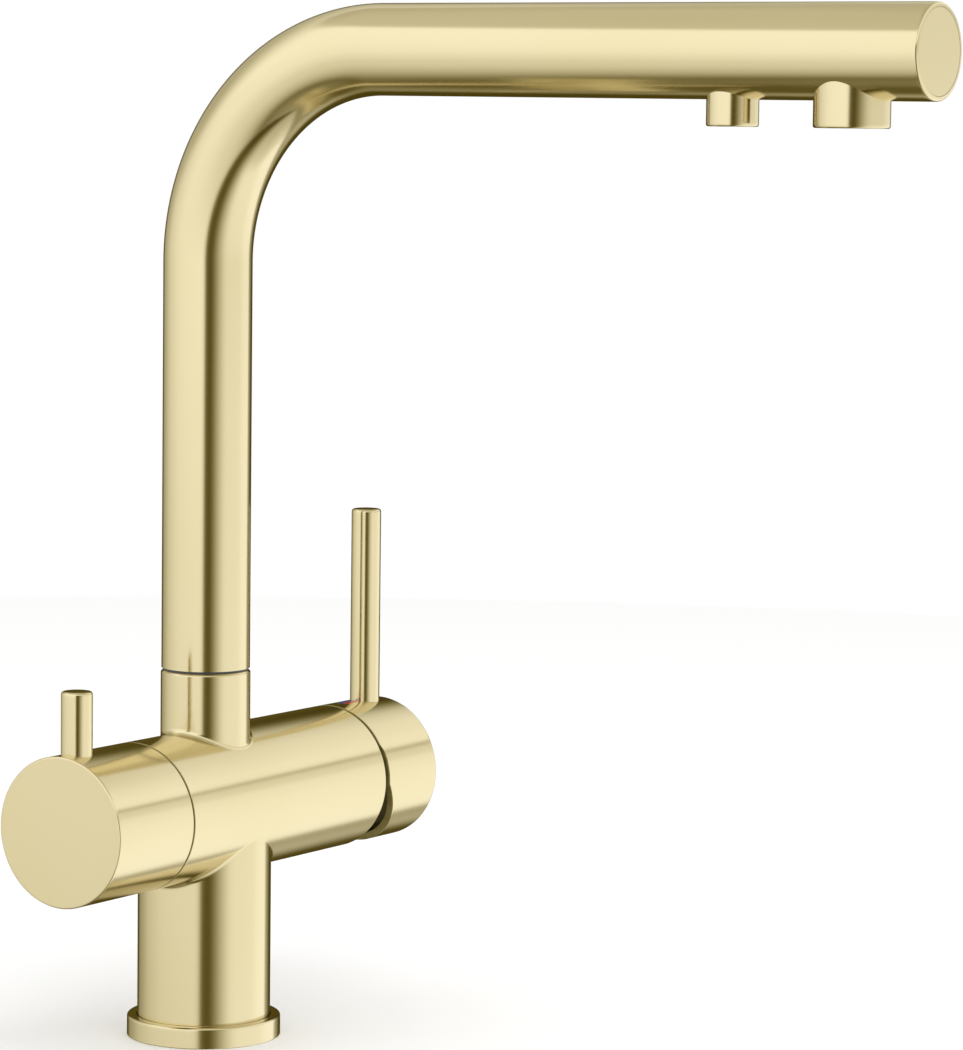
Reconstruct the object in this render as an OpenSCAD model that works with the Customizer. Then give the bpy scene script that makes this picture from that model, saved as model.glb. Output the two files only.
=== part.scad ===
// Three way filtered water tap, in millimetres.
// The origin is the centre of the base flange on the worktop. +Z is up, the spout reaches
// along -Y towards the user, the mixer is at the +X end and the filter knob at the -X end.
// Threads are modelled as plain cylinders at their outer diameter.

/* [Overall] */
// Height of the cross body's axis above the worktop
axis_h = 79.8; // [76:0.1:92]
// Height from the foot of the spout tube to the axis of its level part
spout_rise = 208.3; // [160:0.1:260]
// Distance from the column's axis to the tip of the spout
spout_reach = 273.3; // [240:0.1:320]
// Thickness of the worktop that the tap is clamped to
worktop_t = 38; // [20:1:40]

/* [Column and flange] */
// Diameter of the column
column_d = 45.3; // [43:0.1:48]
// Diameter of the base flange
flange_d = 52.3; // [51.5:0.1:60]
// Height of the base flange
flange_h = 7.1; // [5:0.1:10]
// Height of the ledge in the flange that the column stands on
ledge_h = 2.5; // [2:0.1:3.5]
// Width of the base gasket
gasket_w = 3.8; // [2:0.1:4]
// Thickness of the base gasket
gasket_t = 1.2; // [0.8:0.1:1.4]

/* [Cross body] */
// Diameter of the cross body, the mixer cap and the filter knob
body_d = 50; // [47:0.5:56]
// From the column's axis to the filter end of the cross body
body_left = 38.5; // [38:0.5:46]
// From the column's axis to the mixer end of the cross body
body_right = 72.5; // [70:0.5:80]
// Rounding of the cross body's two end edges
body_edge = 0.4; // [0.2:0.1:0.8]
// Diameter of the water ways to and from the mixer cartridge
water_way_d = 5.6; // [4.6:0.1:5.8]
// Diameter of the filtered water ways
filter_way_d = 4.6; // [3:0.1:5]

/* [Neck] */
// Diameter of the neck
neck_d = 30.4; // [30:0.1:33]
// Height of the neck above the top of the cross body
neck_rise = 20.7; // [18:0.1:28]
// Chamfer on the top edge of the neck
neck_chamfer = 0.7; // [0.3:0.1:1]
// Bore of the neck, in which the spout bush turns
neck_bore_d = 24.1; // [23:0.1:25]
// Diameter of the mixed water chamber under the bush
chamber_d = 18; // [16:0.1:20]
// Diameter of the socket that the filtered-water plug turns in
plug_socket_d = 8.1; // [7.5:0.1:9]
// Thickness of the glide washer between neck and spout
glide_t = 0.8; // [0.5:0.1:1.5]

/* [Spout] */
// Outer diameter of the spout tube
tube_d = 30; // [29:0.1:31]
// Wall of the spout tube
tube_wall = 1.5; // [1.2:0.1:2]
// Bend radius at the centre line of the spout tube
bend_r = 71; // [50:1:90]
// Rounding of the spout tube's edge at the tip
tip_edge = 0.6; // [0.3:0.1:0.7]
// How far the end cap is let in from the tip
end_cap_inset = 0.8; // [0.3:0.1:2]
// Thickness of the end cap
end_cap_t = 3; // [2:0.1:5]
// Outer diameter of the filtered-water tube inside the spout
inner_tube_d = 6; // [5:0.1:6.4]
// Wall of the filtered-water tube
inner_tube_wall = 1; // [0.8:0.1:1.5]

/* [Spout bush] */
// Length of the bush inside the spout tube
bush_in_tube = 20; // [15:1:30]
// Length of the bush inside the neck
bush_in_neck = 28; // [26:0.5:29]
// Bore of the bush
bush_bore_d = 19; // [17:0.1:19.4]
// Diameter of the bottom of the grooves in the bush
groove_d = 21; // [20.6:0.1:21.4]
// Thickness of each spout O-ring
spout_ring_t = 1.5; // [1.2:0.1:1.6]
// Diameter of the screw that keeps the spout in
keeper_d = 4; // [3:0.1:5]

/* [Nozzles] */
// Outer diameter of the mixed-water nozzle
mixed_nozzle_d = 23.7; // [23:0.1:25]
// From the tip of the spout to the axis of the mixed-water nozzle
mixed_setback = 29.4; // [22:0.1:40]
// Outer diameter of the filtered-water nozzle
filter_nozzle_d = 16.4; // [15:0.1:18]
// Distance between the axes of the two nozzles
nozzle_spacing = 41.8; // [36:0.1:50]
// From the underside of the level tube down to the nozzles' outlets
nozzle_l = 8.3; // [7:0.1:13]
// Rounding of the nozzles' lower edges
nozzle_edge = 0.7; // [0.3:0.1:1]
// Bore of the mixed-water nozzle
aerator_bore_d = 21.2; // [20:0.1:21.5]
// Height of the aerator
aerator_h = 6; // [5:0.1:6.2]
// How far the aerator and the straightener sit up inside their nozzles
outlet_inset = 0.7; // [0.3:0.1:1.5]
// Bore of the filtered-water nozzle
straightener_bore_d = 12; // [10:0.1:13]
// Height of the flow straightener
straightener_h = 4; // [3:0.1:4.4]

/* [Mixer cap] */
// Length of the mixer cap
cap_l = 31.1; // [30.5:0.1:36]
// Wall of the mixer cap
cap_wall = 2.3; // [2:0.1:2.6]
// Thickness of the mixer cap's closed end
cap_end_t = 4; // [3:0.1:5]
// Rounding of the outer edges of cap and knob
cap_edge = 0.5; // [0.2:0.1:0.8]
// How far the cap's rim steps back beside the body
rim_step = 1.9; // [1.5:0.1:2.5]
// Height above the axis at which the step in the rim ends
rim_step_h = 11.3; // [9:0.1:14]
// Height over which the rim steps back
rim_ramp_h = 2.7; // [1:0.1:4]
// Depth below the axis at which the scooped part of the rim begins
scoop_h = 0.8; // [0:0.1:3]
// Slope of the scooped rim, in degrees from upright
scoop_angle = 28; // [25:0.5:30]

/* [Levers] */
// Diameter of the mixer lever
mixer_lever_d = 10.5; // [9:0.1:11]
// Height of the mixer lever above the cap
mixer_lever_l = 68.5; // [40:0.5:100]
// From the cap's outer end to the axis of the mixer lever
mixer_lever_inset = 9.4; // [9:0.1:12]
// Diameter of the filter lever
filter_lever_d = 10.4; // [9:0.1:11]
// Height of the filter lever above the knob
filter_lever_l = 20.6; // [15:0.1:40]
// From the knob's outer face to the axis of the filter lever
filter_lever_inset = 8.7; // [8.4:0.1:12]
// Rounding of the levers' top edges
lever_edge = 1; // [0.5:0.1:1.5]
// Diameter of the levers' threaded ends
lever_thread_d = 6; // [5:0.1:7]
// Length of the levers' threaded ends, from the top of cap and knob
lever_thread_l = 14; // [12:0.5:15]

/* [Hot and cold marks] */
// Length of the marks along the cap
mark_l = 8.6; // [6:0.1:10]
// Width of each mark
mark_w = 2; // [1.5:0.1:3]
// Thickness of the marks
mark_t = 0.4; // [0.3:0.1:0.6]
// Gap between the marks and the mixer lever
mark_gap = 0.4; // [0.2:0.1:1]

/* [Mixer cartridge] */
// Outer diameter of the cartridge
cartridge_d = 35; // [34:0.5:36]
// Wall of the cartridge housing
housing_wall = 2; // [1.5:0.1:2.5]
// Length of the wide part of the cartridge housing
housing_l = 20; // [20:0.5:22]
// Length of the housing's neck
housing_neck_l = 12; // [10:0.5:13]
// Bore of the housing's neck
housing_neck_bore_d = 23; // [22.5:0.1:24]
// Wall of the housing's neck
housing_neck_wall = 1.7; // [1.5:0.1:2]
// Thickness of the cartridge base
base_t = 3; // [2:0.1:4]
// Thickness of the port seals
port_seal_t = 1; // [0.6:0.1:1.5]
// Radius of the circle that the hot and cold ports lie on
inlet_circle_r = 5.8; // [5.4:0.1:6]
// Height of the mixed-water port above the cartridge's axis
outlet_port_rise = 12.2; // [11.6:0.1:12.4]
// Thickness of each ceramic disc of the mixer
disc_t = 4; // [3:0.1:4.2]
// Diameter of the moving disc and its carrier
moving_disc_d = 17.6; // [17.3:0.1:17.8]
// Thickness of the disc carrier
carrier_t = 5; // [4.4:0.1:5.2]
// Thickness of the rotor's foot
rotor_foot_t = 3; // [2:0.1:3.4]
// Diameter of the pivot pin
pivot_pin_d = 3; // [2.5:0.1:3.5]
// From the stem's ball to the pivot
stem_arm = 15; // [14.5:0.1:15.5]
// From the pivot to the outer end of the stem
stem_reach = 28.5; // [26:0.1:29.5]
// Side of the stem's square end
stem_square = 8; // [7:0.1:8.4]
// Diameter of the ball on the stem
stem_ball_d = 5; // [4:0.1:5.4]
// Diameter of the stem between ball and pivot
stem_neck_d = 4; // [3:0.1:4.4]
// Length of the nut's thread
nut_thread_l = 8.5; // [7:0.1:10]
// Diameter of the nut's thread
nut_thread_d = 41; // [39:0.1:42]
// How far the nut stands out of the body
nut_rise = 6.5; // [5:0.1:6.8]
// Gap between the nut and the inside of the mixer cap
nut_gap = 3.4; // [3.2:0.1:4.7]

/* [Filter valve] */
// Diameter of the valve's thread
valve_thread_d = 18; // [17:0.1:20]
// Length of the valve's thread
valve_thread_l = 8.5; // [7:0.1:10]
// Length of the valve under its thread
valve_foot_l = 6.8; // [6.6:0.1:8]
// Diameter of the valve under its thread
valve_foot_d = 13; // [12.6:0.1:14]
// Thickness of the seat seal
seat_seal_t = 1.2; // [0.8:0.1:2]
// Thickness of the valve's hexagon
hexagon_t = 4.5; // [3:0.1:6]
// Hexagon of the valve, across its flats
hexagon_af = 18; // [18:0.1:22]
// Length of the valve's neck outside the hexagon
valve_neck_l = 7; // [4:0.1:8]
// Diameter of the valve's neck
valve_neck_d = 12; // [11:0.1:13]
// Diameter of the small ceramic discs
small_disc_d = 9.8; // [9:0.1:10]
// Thickness of the small ceramic discs
small_disc_t = 2.6; // [2:0.1:2.8]
// Thickness of the spindle's foot
spindle_foot_t = 2.6; // [2:0.1:3]
// Diameter of the filter spindle
spindle_d = 7.9; // [7:0.1:8]
// Length of the spindle outside the valve's neck
spindle_reach = 9.5; // [8:0.1:10]

/* [Filter knob] */
// Length of the filter knob
knob_l = 39.3; // [38.8:0.1:46]
// Wall of the filter knob
knob_wall = 2.5; // [2:0.1:3]
// Thickness of the filter knob's face
knob_face_t = 4; // [3:0.1:5]

/* [Handle parts] */
// Diameter of the bosses inside cap and knob
boss_d = 16; // [15:0.1:17]
// Length of the boss inside the mixer cap
cap_boss_l = 15; // [14.6:0.1:15.6]
// Length of the boss inside the filter knob
knob_boss_l = 21; // [20.6:0.1:22]
// Diameter of the grub screws in the handles
grub_d = 4; // [3:0.1:5]
// Wall of the posts that take the levers' threads
post_wall = 3; // [2:0.1:4]

/* [Mounting set] */
// Diameter of the threaded mounting shank
shank_d = 33; // [31:0.1:33.4]
// Wall of the mounting shank
shank_wall = 2.2; // [1.8:0.1:2.5]
// Depth of the shank's thread in the body
shank_in_body = 11.5; // [8:0.5:14]
// Length of the shank below the back nut
shank_tail = 7; // [3:0.5:20]
// Diameter of the two washers under the worktop
washer_d = 54; // [50:1:60]
// Thickness of the rubber washer
rubber_t = 3; // [2:0.1:5]
// Thickness of the steel washer
steel_t = 2; // [1:0.1:3]
// Back nut, across its flats
back_nut_af = 46; // [42:1:50]
// Thickness of the back nut
back_nut_t = 8; // [6:0.5:12]
// Diameter of the hose threads in the body
hose_thread_d = 10; // [8:0.1:10.4]
// Depth of the hose threads
hose_thread_l = 13; // [10:0.5:16]
// Radius of the circle that the hose threads lie on
hose_circle_r = 8.3; // [8.1:0.1:8.8]

/* [Clearances] */
// Gap between the cross body and the handles
seam_gap = 0.4; // [0.3:0.05:0.6]
// Gap round the column inside the flange
flange_gap = 0.25; // [0.1:0.05:0.4]
// Radial clearance of what turns
turn_gap = 0.05; // [0.03:0.01:0.08]
// Radial clearance of what is screwed or pushed in
fit_gap = 0.1; // [0.05:0.01:0.15]
// Gap between faces that slide on each other
lap_gap = 0.05; // [0.03:0.01:0.1]
// Wider gap between loose inner pieces
slip_gap = 0.15; // [0.1:0.01:0.2]

/* [Hidden] */
$fn = 72;
// A straight through cut runs past both of its faces by this much
cut = 2;

body_r = body_d / 2;
body_top = axis_h + body_r;
neck_top = body_top + neck_rise;
tube_foot = neck_top + glide_t;
spout_h = tube_foot + spout_rise;
tube_bore_d = tube_d - 2 * tube_wall;
nozzle_drop = tube_d / 2 + nozzle_l;
outlet_h = spout_h - nozzle_drop;
mixed_y = -(spout_reach - mixed_setback);
filter_y = mixed_y + nozzle_spacing;

// Grooves of the bush, measured up from its lower end
bush_foot = tube_foot - bush_in_neck;
bush_neck_d = neck_bore_d - 2 * turn_gap;
groove_w = spout_ring_t + 2 * fit_gap;
groove_pitch = 4;
groove_first = 2.6;
keeper_groove_w = keeper_d + 4 * fit_gap;
keeper_up = 14.5;
glide_ring_up = 19.5;
glide_ring_w = 4;
glide_floor_d = (groove_d + bush_neck_d) / 2;
keeper_h = bush_foot + keeper_up;
keeper_sunk = 0.3;
keeper_socket_af = 2;
keeper_socket_depth = 1.8;

// The mixed water chamber and the filtered-water socket under the bush
bush_end_gap = 0.7;
chamber_top = bush_foot - bush_end_gap;
chamber_h = 9;
chamber_foot = chamber_top - chamber_h;
plug_depth = 5.7;
plug_foot = chamber_foot - plug_depth;
plug_rise = 5;
plug_d = plug_socket_d - 4 * turn_gap;
plug_ring_t = 1;
plug_ring_up = 2.2;
plug_groove_d = plug_socket_d - 2 * (plug_ring_t + turn_gap);
tube_in_plug = 4;

// Distances along the mixer's axis, from the column's axis outwards
nut_seat_x = body_right - nut_thread_l;
housing_x = nut_seat_x - housing_l;
base_x = housing_x - base_t;
cartridge_floor_x = base_x - port_seal_t;
moving_disc_x = housing_x + disc_t + lap_gap;
carrier_x = moving_disc_x + disc_t;
rotor_x = carrier_x + carrier_t + slip_gap;
shoulder_x = rotor_x + rotor_foot_t + slip_gap;
housing_end_x = nut_seat_x + housing_neck_l;
rotor_end_gap = 1;
rotor_end_x = housing_end_x - rotor_end_gap;
ball_x = carrier_x + stem_ball_d / 2 + 2 * slip_gap;
pivot_x = ball_x + stem_arm;
stem_end_x = pivot_x + stem_reach;
nut_end_x = body_right + nut_rise;
nut_d = body_d - 2 * (cap_wall + nut_gap);
cap_x = body_right + seam_gap;
cap_end_x = cap_x + cap_l;
cap_floor_x = cap_end_x - cap_end_t;
cap_boss_x = cap_floor_x - cap_boss_l;
mixer_lever_x = cap_end_x - mixer_lever_inset;
mixer_grub_x = mixer_lever_x - lever_thread_d / 2 - grub_d;

// Ports of the cartridge, seen along its axis: the inlets below, the outlet above
port_d = water_way_d;
inlet_port_y = inlet_circle_r * sin(60);
inlet_port_drop = inlet_circle_r * cos(60);
port_seal_w = 1.2;
return_port_d = 4.2;
return_groove_w = 4.4;
return_groove_depth = 1.8;
housing_bore_d = cartridge_d - 2 * housing_wall;
housing_neck_d = housing_neck_bore_d + 2 * housing_neck_wall;
rotor_d = housing_neck_bore_d - 4 * turn_gap;
rotor_foot_d = housing_bore_d - 4 * turn_gap;
slot_w = stem_square + 2 * slip_gap;
slot_h = 14.8;
ball_pocket_up = 9.2;
rail_span = 14;
rail_t = 1.2;
lug_w = 3;
lug_depth = 1.6;
lug_h = 2.4;
pivot_block_l = 8;
ball_socket_d = stem_ball_d + 4 * slip_gap;
rotor_ring_t = 1.2;
rotor_ring_x = shoulder_x + 2 * rotor_ring_t;
rotor_groove_d = housing_neck_bore_d - 2 * (rotor_ring_t + turn_gap);
pin_inset = 0.4;
nut_slots = 6;
nut_slot_w = 5;
nut_slot_depth = 1.6;

// Distances along the filter's axis, from the column's axis outwards to the left
valve_seat_u = body_left - valve_thread_l - valve_foot_l - seat_seal_t;
valve_foot_u = valve_seat_u + seat_seal_t;
small_moving_u = valve_foot_u + small_disc_t + lap_gap;
spindle_foot_u = small_moving_u + small_disc_t;
spindle_shoulder_u = spindle_foot_u + spindle_foot_t + slip_gap;
valve_end_u = body_left + hexagon_t + valve_neck_l;
spindle_end_u = valve_end_u + spindle_reach;
knob_u = body_left + seam_gap;
knob_end_u = knob_u + knob_l;
knob_floor_u = knob_end_u - knob_face_t;
knob_boss_u = knob_floor_u - knob_boss_l;
filter_lever_u = knob_end_u - filter_lever_inset;
filter_grub_u = spindle_end_u - grub_d;
valve_window_d = 2.4;
seat_seal_bore_d = 6;
seat_way_drop = 8.6;
small_hole_d = 2.2;
small_hole_r = 2.8;
small_notch_d = 2.6;
key_w = 1.6;
key_h = 0.8;
spindle_ring_t = 1;
spindle_ring_u = spindle_shoulder_u + spindle_foot_t;
spindle_groove_d = spindle_d - 2 * spindle_ring_t;

// Handle screws
grub_l = 4;
grub_socket_d = 2;
grub_socket_depth = 1.5;
grub_access_gap = 0.6;
grub_access_d = grub_d + 2 * grub_access_gap;
flat_depth = 0.5;

// Nozzles
elbow_d = 10;
elbow_rise = 5;
elbow_collar_l = 3;
elbow_arm_d = 9;
elbow_arm_l = 9;
tube_in_elbow = 5;
aerator_wall = 1.3;
mixed_hole_d = aerator_bore_d - 4 * aerator_wall;
aerator_floor_t = 1.2;
aerator_ledge = 1;
screen_t = 1;
aerator_hole_d = 1.8;
screen_hole_d = 1.4;
hole_pitch = 2.4;
hole_rings = 3;
outlet_seal_t = 1.5;
straightener_holes = 6;
straightener_hole_d = 2.2;
straightener_hole_r = 3.6;

// Mounting set
body_foot = ledge_h;
shank_top = body_foot + shank_in_body;
rubber_top = -worktop_t;
steel_top = rubber_top - rubber_t;
nut_top = steel_top - steel_t;
shank_foot = nut_top - back_nut_t - shank_tail;
hose_angles = [-60, 60, 180];
inlet_floor_t = 3;
inlet_block_h = hose_thread_l + inlet_floor_t;

// Diameter of the way above each hose thread; the filtered water has the narrower one
function way_d(angle) = angle == 180 ? filter_way_d : water_way_d;
gasket_mid_d = (flange_d + shank_d) / 2;
flange_edge = 0.8;

gold = "#d9c98f";
brass = "#b89a4e";
steel = "#b9bcc0";
plastic = "#3a3d42";
ceramic = "#f2efe8";
rubber = "#222222";
tubing = "#dfe6ea";

// Half of a turned shape: a rectangle whose outer corners are rounded
module rod_half(d, h, low, high) {
    difference() {
        square([d / 2, h]);
        if (high > 0) translate([d / 2 - high, h - high]) corner(high);
        if (low > 0) translate([d / 2 - low, low]) mirror([0, 1]) corner(low);
    }
}

// What a rounded corner takes away, with the arc's centre at the origin
module corner(r) {
    difference() {
        square([r + cut, r + cut]);
        circle(r = r);
    }
}

// A round bar from z = 0, with its edges rounded where asked
module rod(d, h, low = 0, high = 0) {
    rotate_extrude() rod_half(d, h, low, high);
}

// A ring from z = 0
module ring(outer_d, inner_d, h) {
    difference() {
        cylinder(d = outer_d, h = h);
        translate([0, 0, -cut]) cylinder(d = inner_d, h = h + 2 * cut);
    }
}

// An O-ring whose middle circle has this diameter, centred on z = 0
module o_ring(middle_d, t) {
    rotate_extrude() translate([middle_d / 2, 0]) circle(d = t, $fn = 32);
}

// Children with their z axis along the mixer's axis, x pointing down
module on_mixer_axis(x) {
    translate([x, 0, axis_h]) rotate([0, 90, 0]) children();
}

// Children with their z axis along the filter's axis, x pointing up
module on_filter_axis(u) {
    translate([-u, 0, axis_h]) rotate([0, -90, 0]) children();
}

// The outside of the cross body, the cap and the knob, for what ends against it
module round_of_body() {
    on_mixer_axis(-knob_end_u - cut) cylinder(d = body_d, h = knob_end_u + cap_end_x + 2 * cut);
}

// What rounds the outer edge of a bar whose end lies at z = 0
module end_edge(d, r) {
    rotate_extrude() translate([d / 2 - r, -r]) corner(r);
}

// A bar that follows the spout's centre line, from a height to a level reach
module along_spout(d, foot, reach) {
    bend_h = spout_h - bend_r;
    translate([0, 0, foot]) cylinder(d = d, h = bend_h - foot);
    translate([0, -bend_r, bend_h])
        rotate([90, 0, 90])
            rotate_extrude(angle = 90) translate([bend_r, 0]) circle(d = d);
    translate([0, -bend_r, spout_h])
        rotate([90, 0, 0]) cylinder(d = d, h = reach - bend_r);
}

// Root: the casting and what is fixed to it

module tap_body() {
    color(gold) difference() {
        union() {
            translate([0, 0, body_foot]) cylinder(d = column_d, h = axis_h - body_foot);
            on_mixer_axis(-body_left)
                rod(body_d, body_left + body_right, body_edge, body_edge);
            translate([0, 0, axis_h]) neck_outside();
        }
        neck_bores();
        cartridge_bores();
        filter_bores();
        underside_bores();
    }
}

module neck_outside() {
    h = neck_top - axis_h;
    cylinder(d = neck_d, h = h - neck_chamfer);
    translate([0, 0, h - neck_chamfer])
        cylinder(d1 = neck_d, d2 = neck_d - 2 * neck_chamfer, h = neck_chamfer);
}

module neck_bores() {
    translate([0, 0, chamber_top]) cylinder(d = neck_bore_d, h = neck_top + cut - chamber_top);
    translate([0, 0, chamber_foot]) cylinder(d = chamber_d, h = chamber_h + cut);
    // The plug's socket goes down past the filtered water's way
    socket_foot = axis_h - filter_way_d;
    translate([0, 0, socket_foot])
        cylinder(d = plug_socket_d, h = chamber_foot + cut - socket_foot);
    translate([0, 0, keeper_h])
        rotate([-90, 0, 0]) cylinder(d = keeper_d + 2 * fit_gap, h = neck_d);
}

module cartridge_bores() {
    on_mixer_axis(cartridge_floor_x)
        cylinder(d = cartridge_d + 2 * fit_gap, h = body_right + cut - cartridge_floor_x);
    on_mixer_axis(nut_seat_x)
        cylinder(d = nut_thread_d + 2 * fit_gap, h = nut_thread_l + cut);
    // The outlet's way starts inside the chamber, clear of the plug
    way_x = (chamber_d + plug_socket_d) / 4;
    translate([0, 0, outlet_port_rise])
        on_mixer_axis(way_x) cylinder(d = water_way_d, h = cartridge_floor_x + cut - way_x);
    for (side = [-1, 1])
        translate([0, side * inlet_port_y, -inlet_port_drop])
            on_mixer_axis(hose_circle_r * cos(60))
                cylinder(d = water_way_d, h = cartridge_floor_x + cut - hose_circle_r * cos(60));
}

module filter_bores() {
    on_filter_axis(valve_seat_u)
        cylinder(d = valve_thread_d + 2 * fit_gap, h = body_left + cut - valve_seat_u);
    on_filter_axis(0) cylinder(d = filter_way_d, h = valve_seat_u + cut);
    translate([0, 0, -seat_way_drop])
        on_filter_axis(hose_circle_r) cylinder(d = filter_way_d, h = valve_foot_u + cut - hose_circle_r);
}

module underside_bores() {
    translate([0, 0, body_foot - cut])
        cylinder(d = shank_d + 2 * fit_gap, h = shank_in_body + inlet_block_h + cut);
    for (a = hose_angles) rotate([0, 0, a]) translate([hose_circle_r, 0, shank_top]) {
        way_h = axis_h - (a == 180 ? seat_way_drop : inlet_port_drop);
        cylinder(d = way_d(a), h = way_h - shank_top);
    }
}

// Screwed up into the column, with the threads for the three hoses
module inlet_block() {
    color(brass) translate([0, 0, shank_top]) difference() {
        cylinder(d = shank_d, h = inlet_block_h);
        for (a = hose_angles) rotate([0, 0, a]) translate([hose_circle_r, 0, -cut]) {
            cylinder(d = hose_thread_d, h = hose_thread_l + cut);
            cylinder(d = way_d(a), h = inlet_block_h + 2 * cut);
        }
    }
}

module base_flange() {
    color(gold) difference() {
        rod(flange_d, flange_h, 0, flange_edge);
        translate([0, 0, -cut])
            cylinder(d = shank_d + 8 * fit_gap, h = flange_h + 2 * cut);
        translate([0, 0, ledge_h])
            cylinder(d = column_d + 2 * flange_gap, h = flange_h + cut);
        translate([0, 0, -cut])
            ring(gasket_mid_d + gasket_w + 2 * fit_gap, gasket_mid_d - gasket_w - 2 * fit_gap,
                gasket_t + cut);
    }
}

module base_gasket() {
    color(rubber) ring(gasket_mid_d + gasket_w, gasket_mid_d - gasket_w, gasket_t);
}

module mounting_shank() {
    color(brass) translate([0, 0, shank_foot])
        ring(shank_d, shank_d - 2 * shank_wall, shank_top - shank_foot);
}

module rubber_washer() {
    color(rubber) translate([0, 0, steel_top])
        ring(washer_d, shank_d + 6 * fit_gap, rubber_t);
}

module steel_washer() {
    color(steel) translate([0, 0, nut_top])
        ring(washer_d, shank_d + 6 * fit_gap, steel_t);
}

module back_nut() {
    across_corners = back_nut_af / cos(30);
    chamfer = (across_corners - back_nut_af) / 2;
    color(brass) translate([0, 0, nut_top - back_nut_t]) difference() {
        intersection() {
            cylinder(d = across_corners, h = back_nut_t, $fn = 6);
            union() {
                cylinder(d1 = back_nut_af, d2 = back_nut_af + 2 * chamfer, h = chamfer);
                translate([0, 0, chamfer]) cylinder(d = across_corners, h = back_nut_t - chamfer);
            }
        }
        translate([0, 0, -cut]) cylinder(d = shank_d + 2 * fit_gap, h = back_nut_t + 2 * cut);
    }
}

// A screw without a head, from z = 0, with its hexagon socket at the far end
module socket_screw(d, l, socket_af, socket_depth) {
    difference() {
        cylinder(d = d, h = l);
        translate([0, 0, l - socket_depth])
            cylinder(d = socket_af / cos(30), h = socket_depth + cut, $fn = 6);
    }
}

module spout_keeper_screw() {
    tip_y = groove_d / 2 + fit_gap;
    color(steel) translate([0, tip_y, keeper_h])
        rotate([-90, 0, 0])
            socket_screw(keeper_d, neck_d / 2 - keeper_sunk - tip_y, keeper_socket_af,
                keeper_socket_depth);
}

module glide_washer() {
    color(rubber) translate([0, 0, neck_top])
        ring(neck_d - 2 * neck_chamfer - 2 * fit_gap, neck_bore_d + 2 * fit_gap, glide_t);
}

// Mixer cartridge, from the floor of its bore outwards

// Children at each of the cartridge's three ports, their z axis along the mixer's axis
module at_ports(x) {
    for (side = [-1, 1])
        translate([0, side * inlet_port_y, -inlet_port_drop]) on_mixer_axis(x) children();
    translate([0, 0, outlet_port_rise]) on_mixer_axis(x) children();
}

module cartridge_seals() {
    seal_bore_d = port_d + 2 * fit_gap;
    color(rubber) at_ports(cartridge_floor_x)
        ring(seal_bore_d + 2 * port_seal_w, seal_bore_d, port_seal_t);
}

module cartridge_base() {
    color(plastic) difference() {
        on_mixer_axis(base_x) cylinder(d = cartridge_d, h = base_t);
        at_ports(base_x - cut) cylinder(d = port_d, h = base_t + 2 * cut);
        on_mixer_axis(housing_x - return_groove_depth)
            ring(2 * outlet_port_rise + return_groove_w, 2 * outlet_port_rise - return_groove_w,
                return_groove_depth + cut);
    }
}

module cartridge_housing() {
    color(plastic) difference() {
        union() {
            on_mixer_axis(housing_x) cylinder(d = cartridge_d, h = housing_l);
            on_mixer_axis(nut_seat_x - cut)
                cylinder(d = housing_neck_d, h = housing_neck_l + cut);
        }
        on_mixer_axis(housing_x - cut)
            cylinder(d = housing_bore_d, h = shoulder_x - housing_x + cut);
        on_mixer_axis(housing_x)
            cylinder(d = housing_neck_bore_d, h = housing_end_x - housing_x + cut);
    }
}

module mixer_fixed_disc() {
    color(ceramic) difference() {
        on_mixer_axis(housing_x) cylinder(d = housing_bore_d - 2 * fit_gap, h = disc_t);
        for (side = [-1, 1]) {
            translate([0, side * inlet_port_y, -inlet_port_drop])
                on_mixer_axis(housing_x - cut) cylinder(d = port_d, h = disc_t + 2 * cut);
            translate([0, side * outlet_port_rise, 0])
                on_mixer_axis(housing_x - cut) cylinder(d = return_port_d, h = disc_t + 2 * cut);
        }
    }
}

// Two blocks on either side of the moving disc, by which the carrier drives it
module disc_lugs(x, gap) {
    for (side = [-1, 1])
        translate([x, side * moving_disc_d / 2 - lug_depth - gap, axis_h - lug_w / 2 - gap])
            cube([lug_h + gap, 2 * (lug_depth + gap), lug_w + 2 * gap]);
}

module mixer_moving_disc() {
    color(ceramic) difference() {
        on_mixer_axis(moving_disc_x) cylinder(d = moving_disc_d, h = disc_t);
        disc_lugs(carrier_x - lug_h, fit_gap);
    }
}

module disc_carrier() {
    color(plastic) difference() {
        union() {
            on_mixer_axis(carrier_x) cylinder(d = moving_disc_d, h = carrier_t);
            intersection() {
                disc_lugs(carrier_x - lug_h, 0);
                on_mixer_axis(carrier_x - disc_t) cylinder(d = moving_disc_d, h = disc_t + cut);
            }
            intersection() {
                on_mixer_axis(carrier_x) cylinder(d = moving_disc_d, h = carrier_t + rail_t);
                rail_block(rail_span);
            }
        }
        rail_block(slot_w);
        on_mixer_axis(carrier_x - cut) cylinder(d = ball_socket_d, h = carrier_t + 2 * cut);
    }
}

// The rails' block above the carrier, this wide, over its whole height
module rail_block(w) {
    translate([carrier_x + carrier_t, -w / 2, axis_h - moving_disc_d / 2 - cut])
        cube([rail_t + cut, w, moving_disc_d + 2 * cut]);
}

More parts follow.
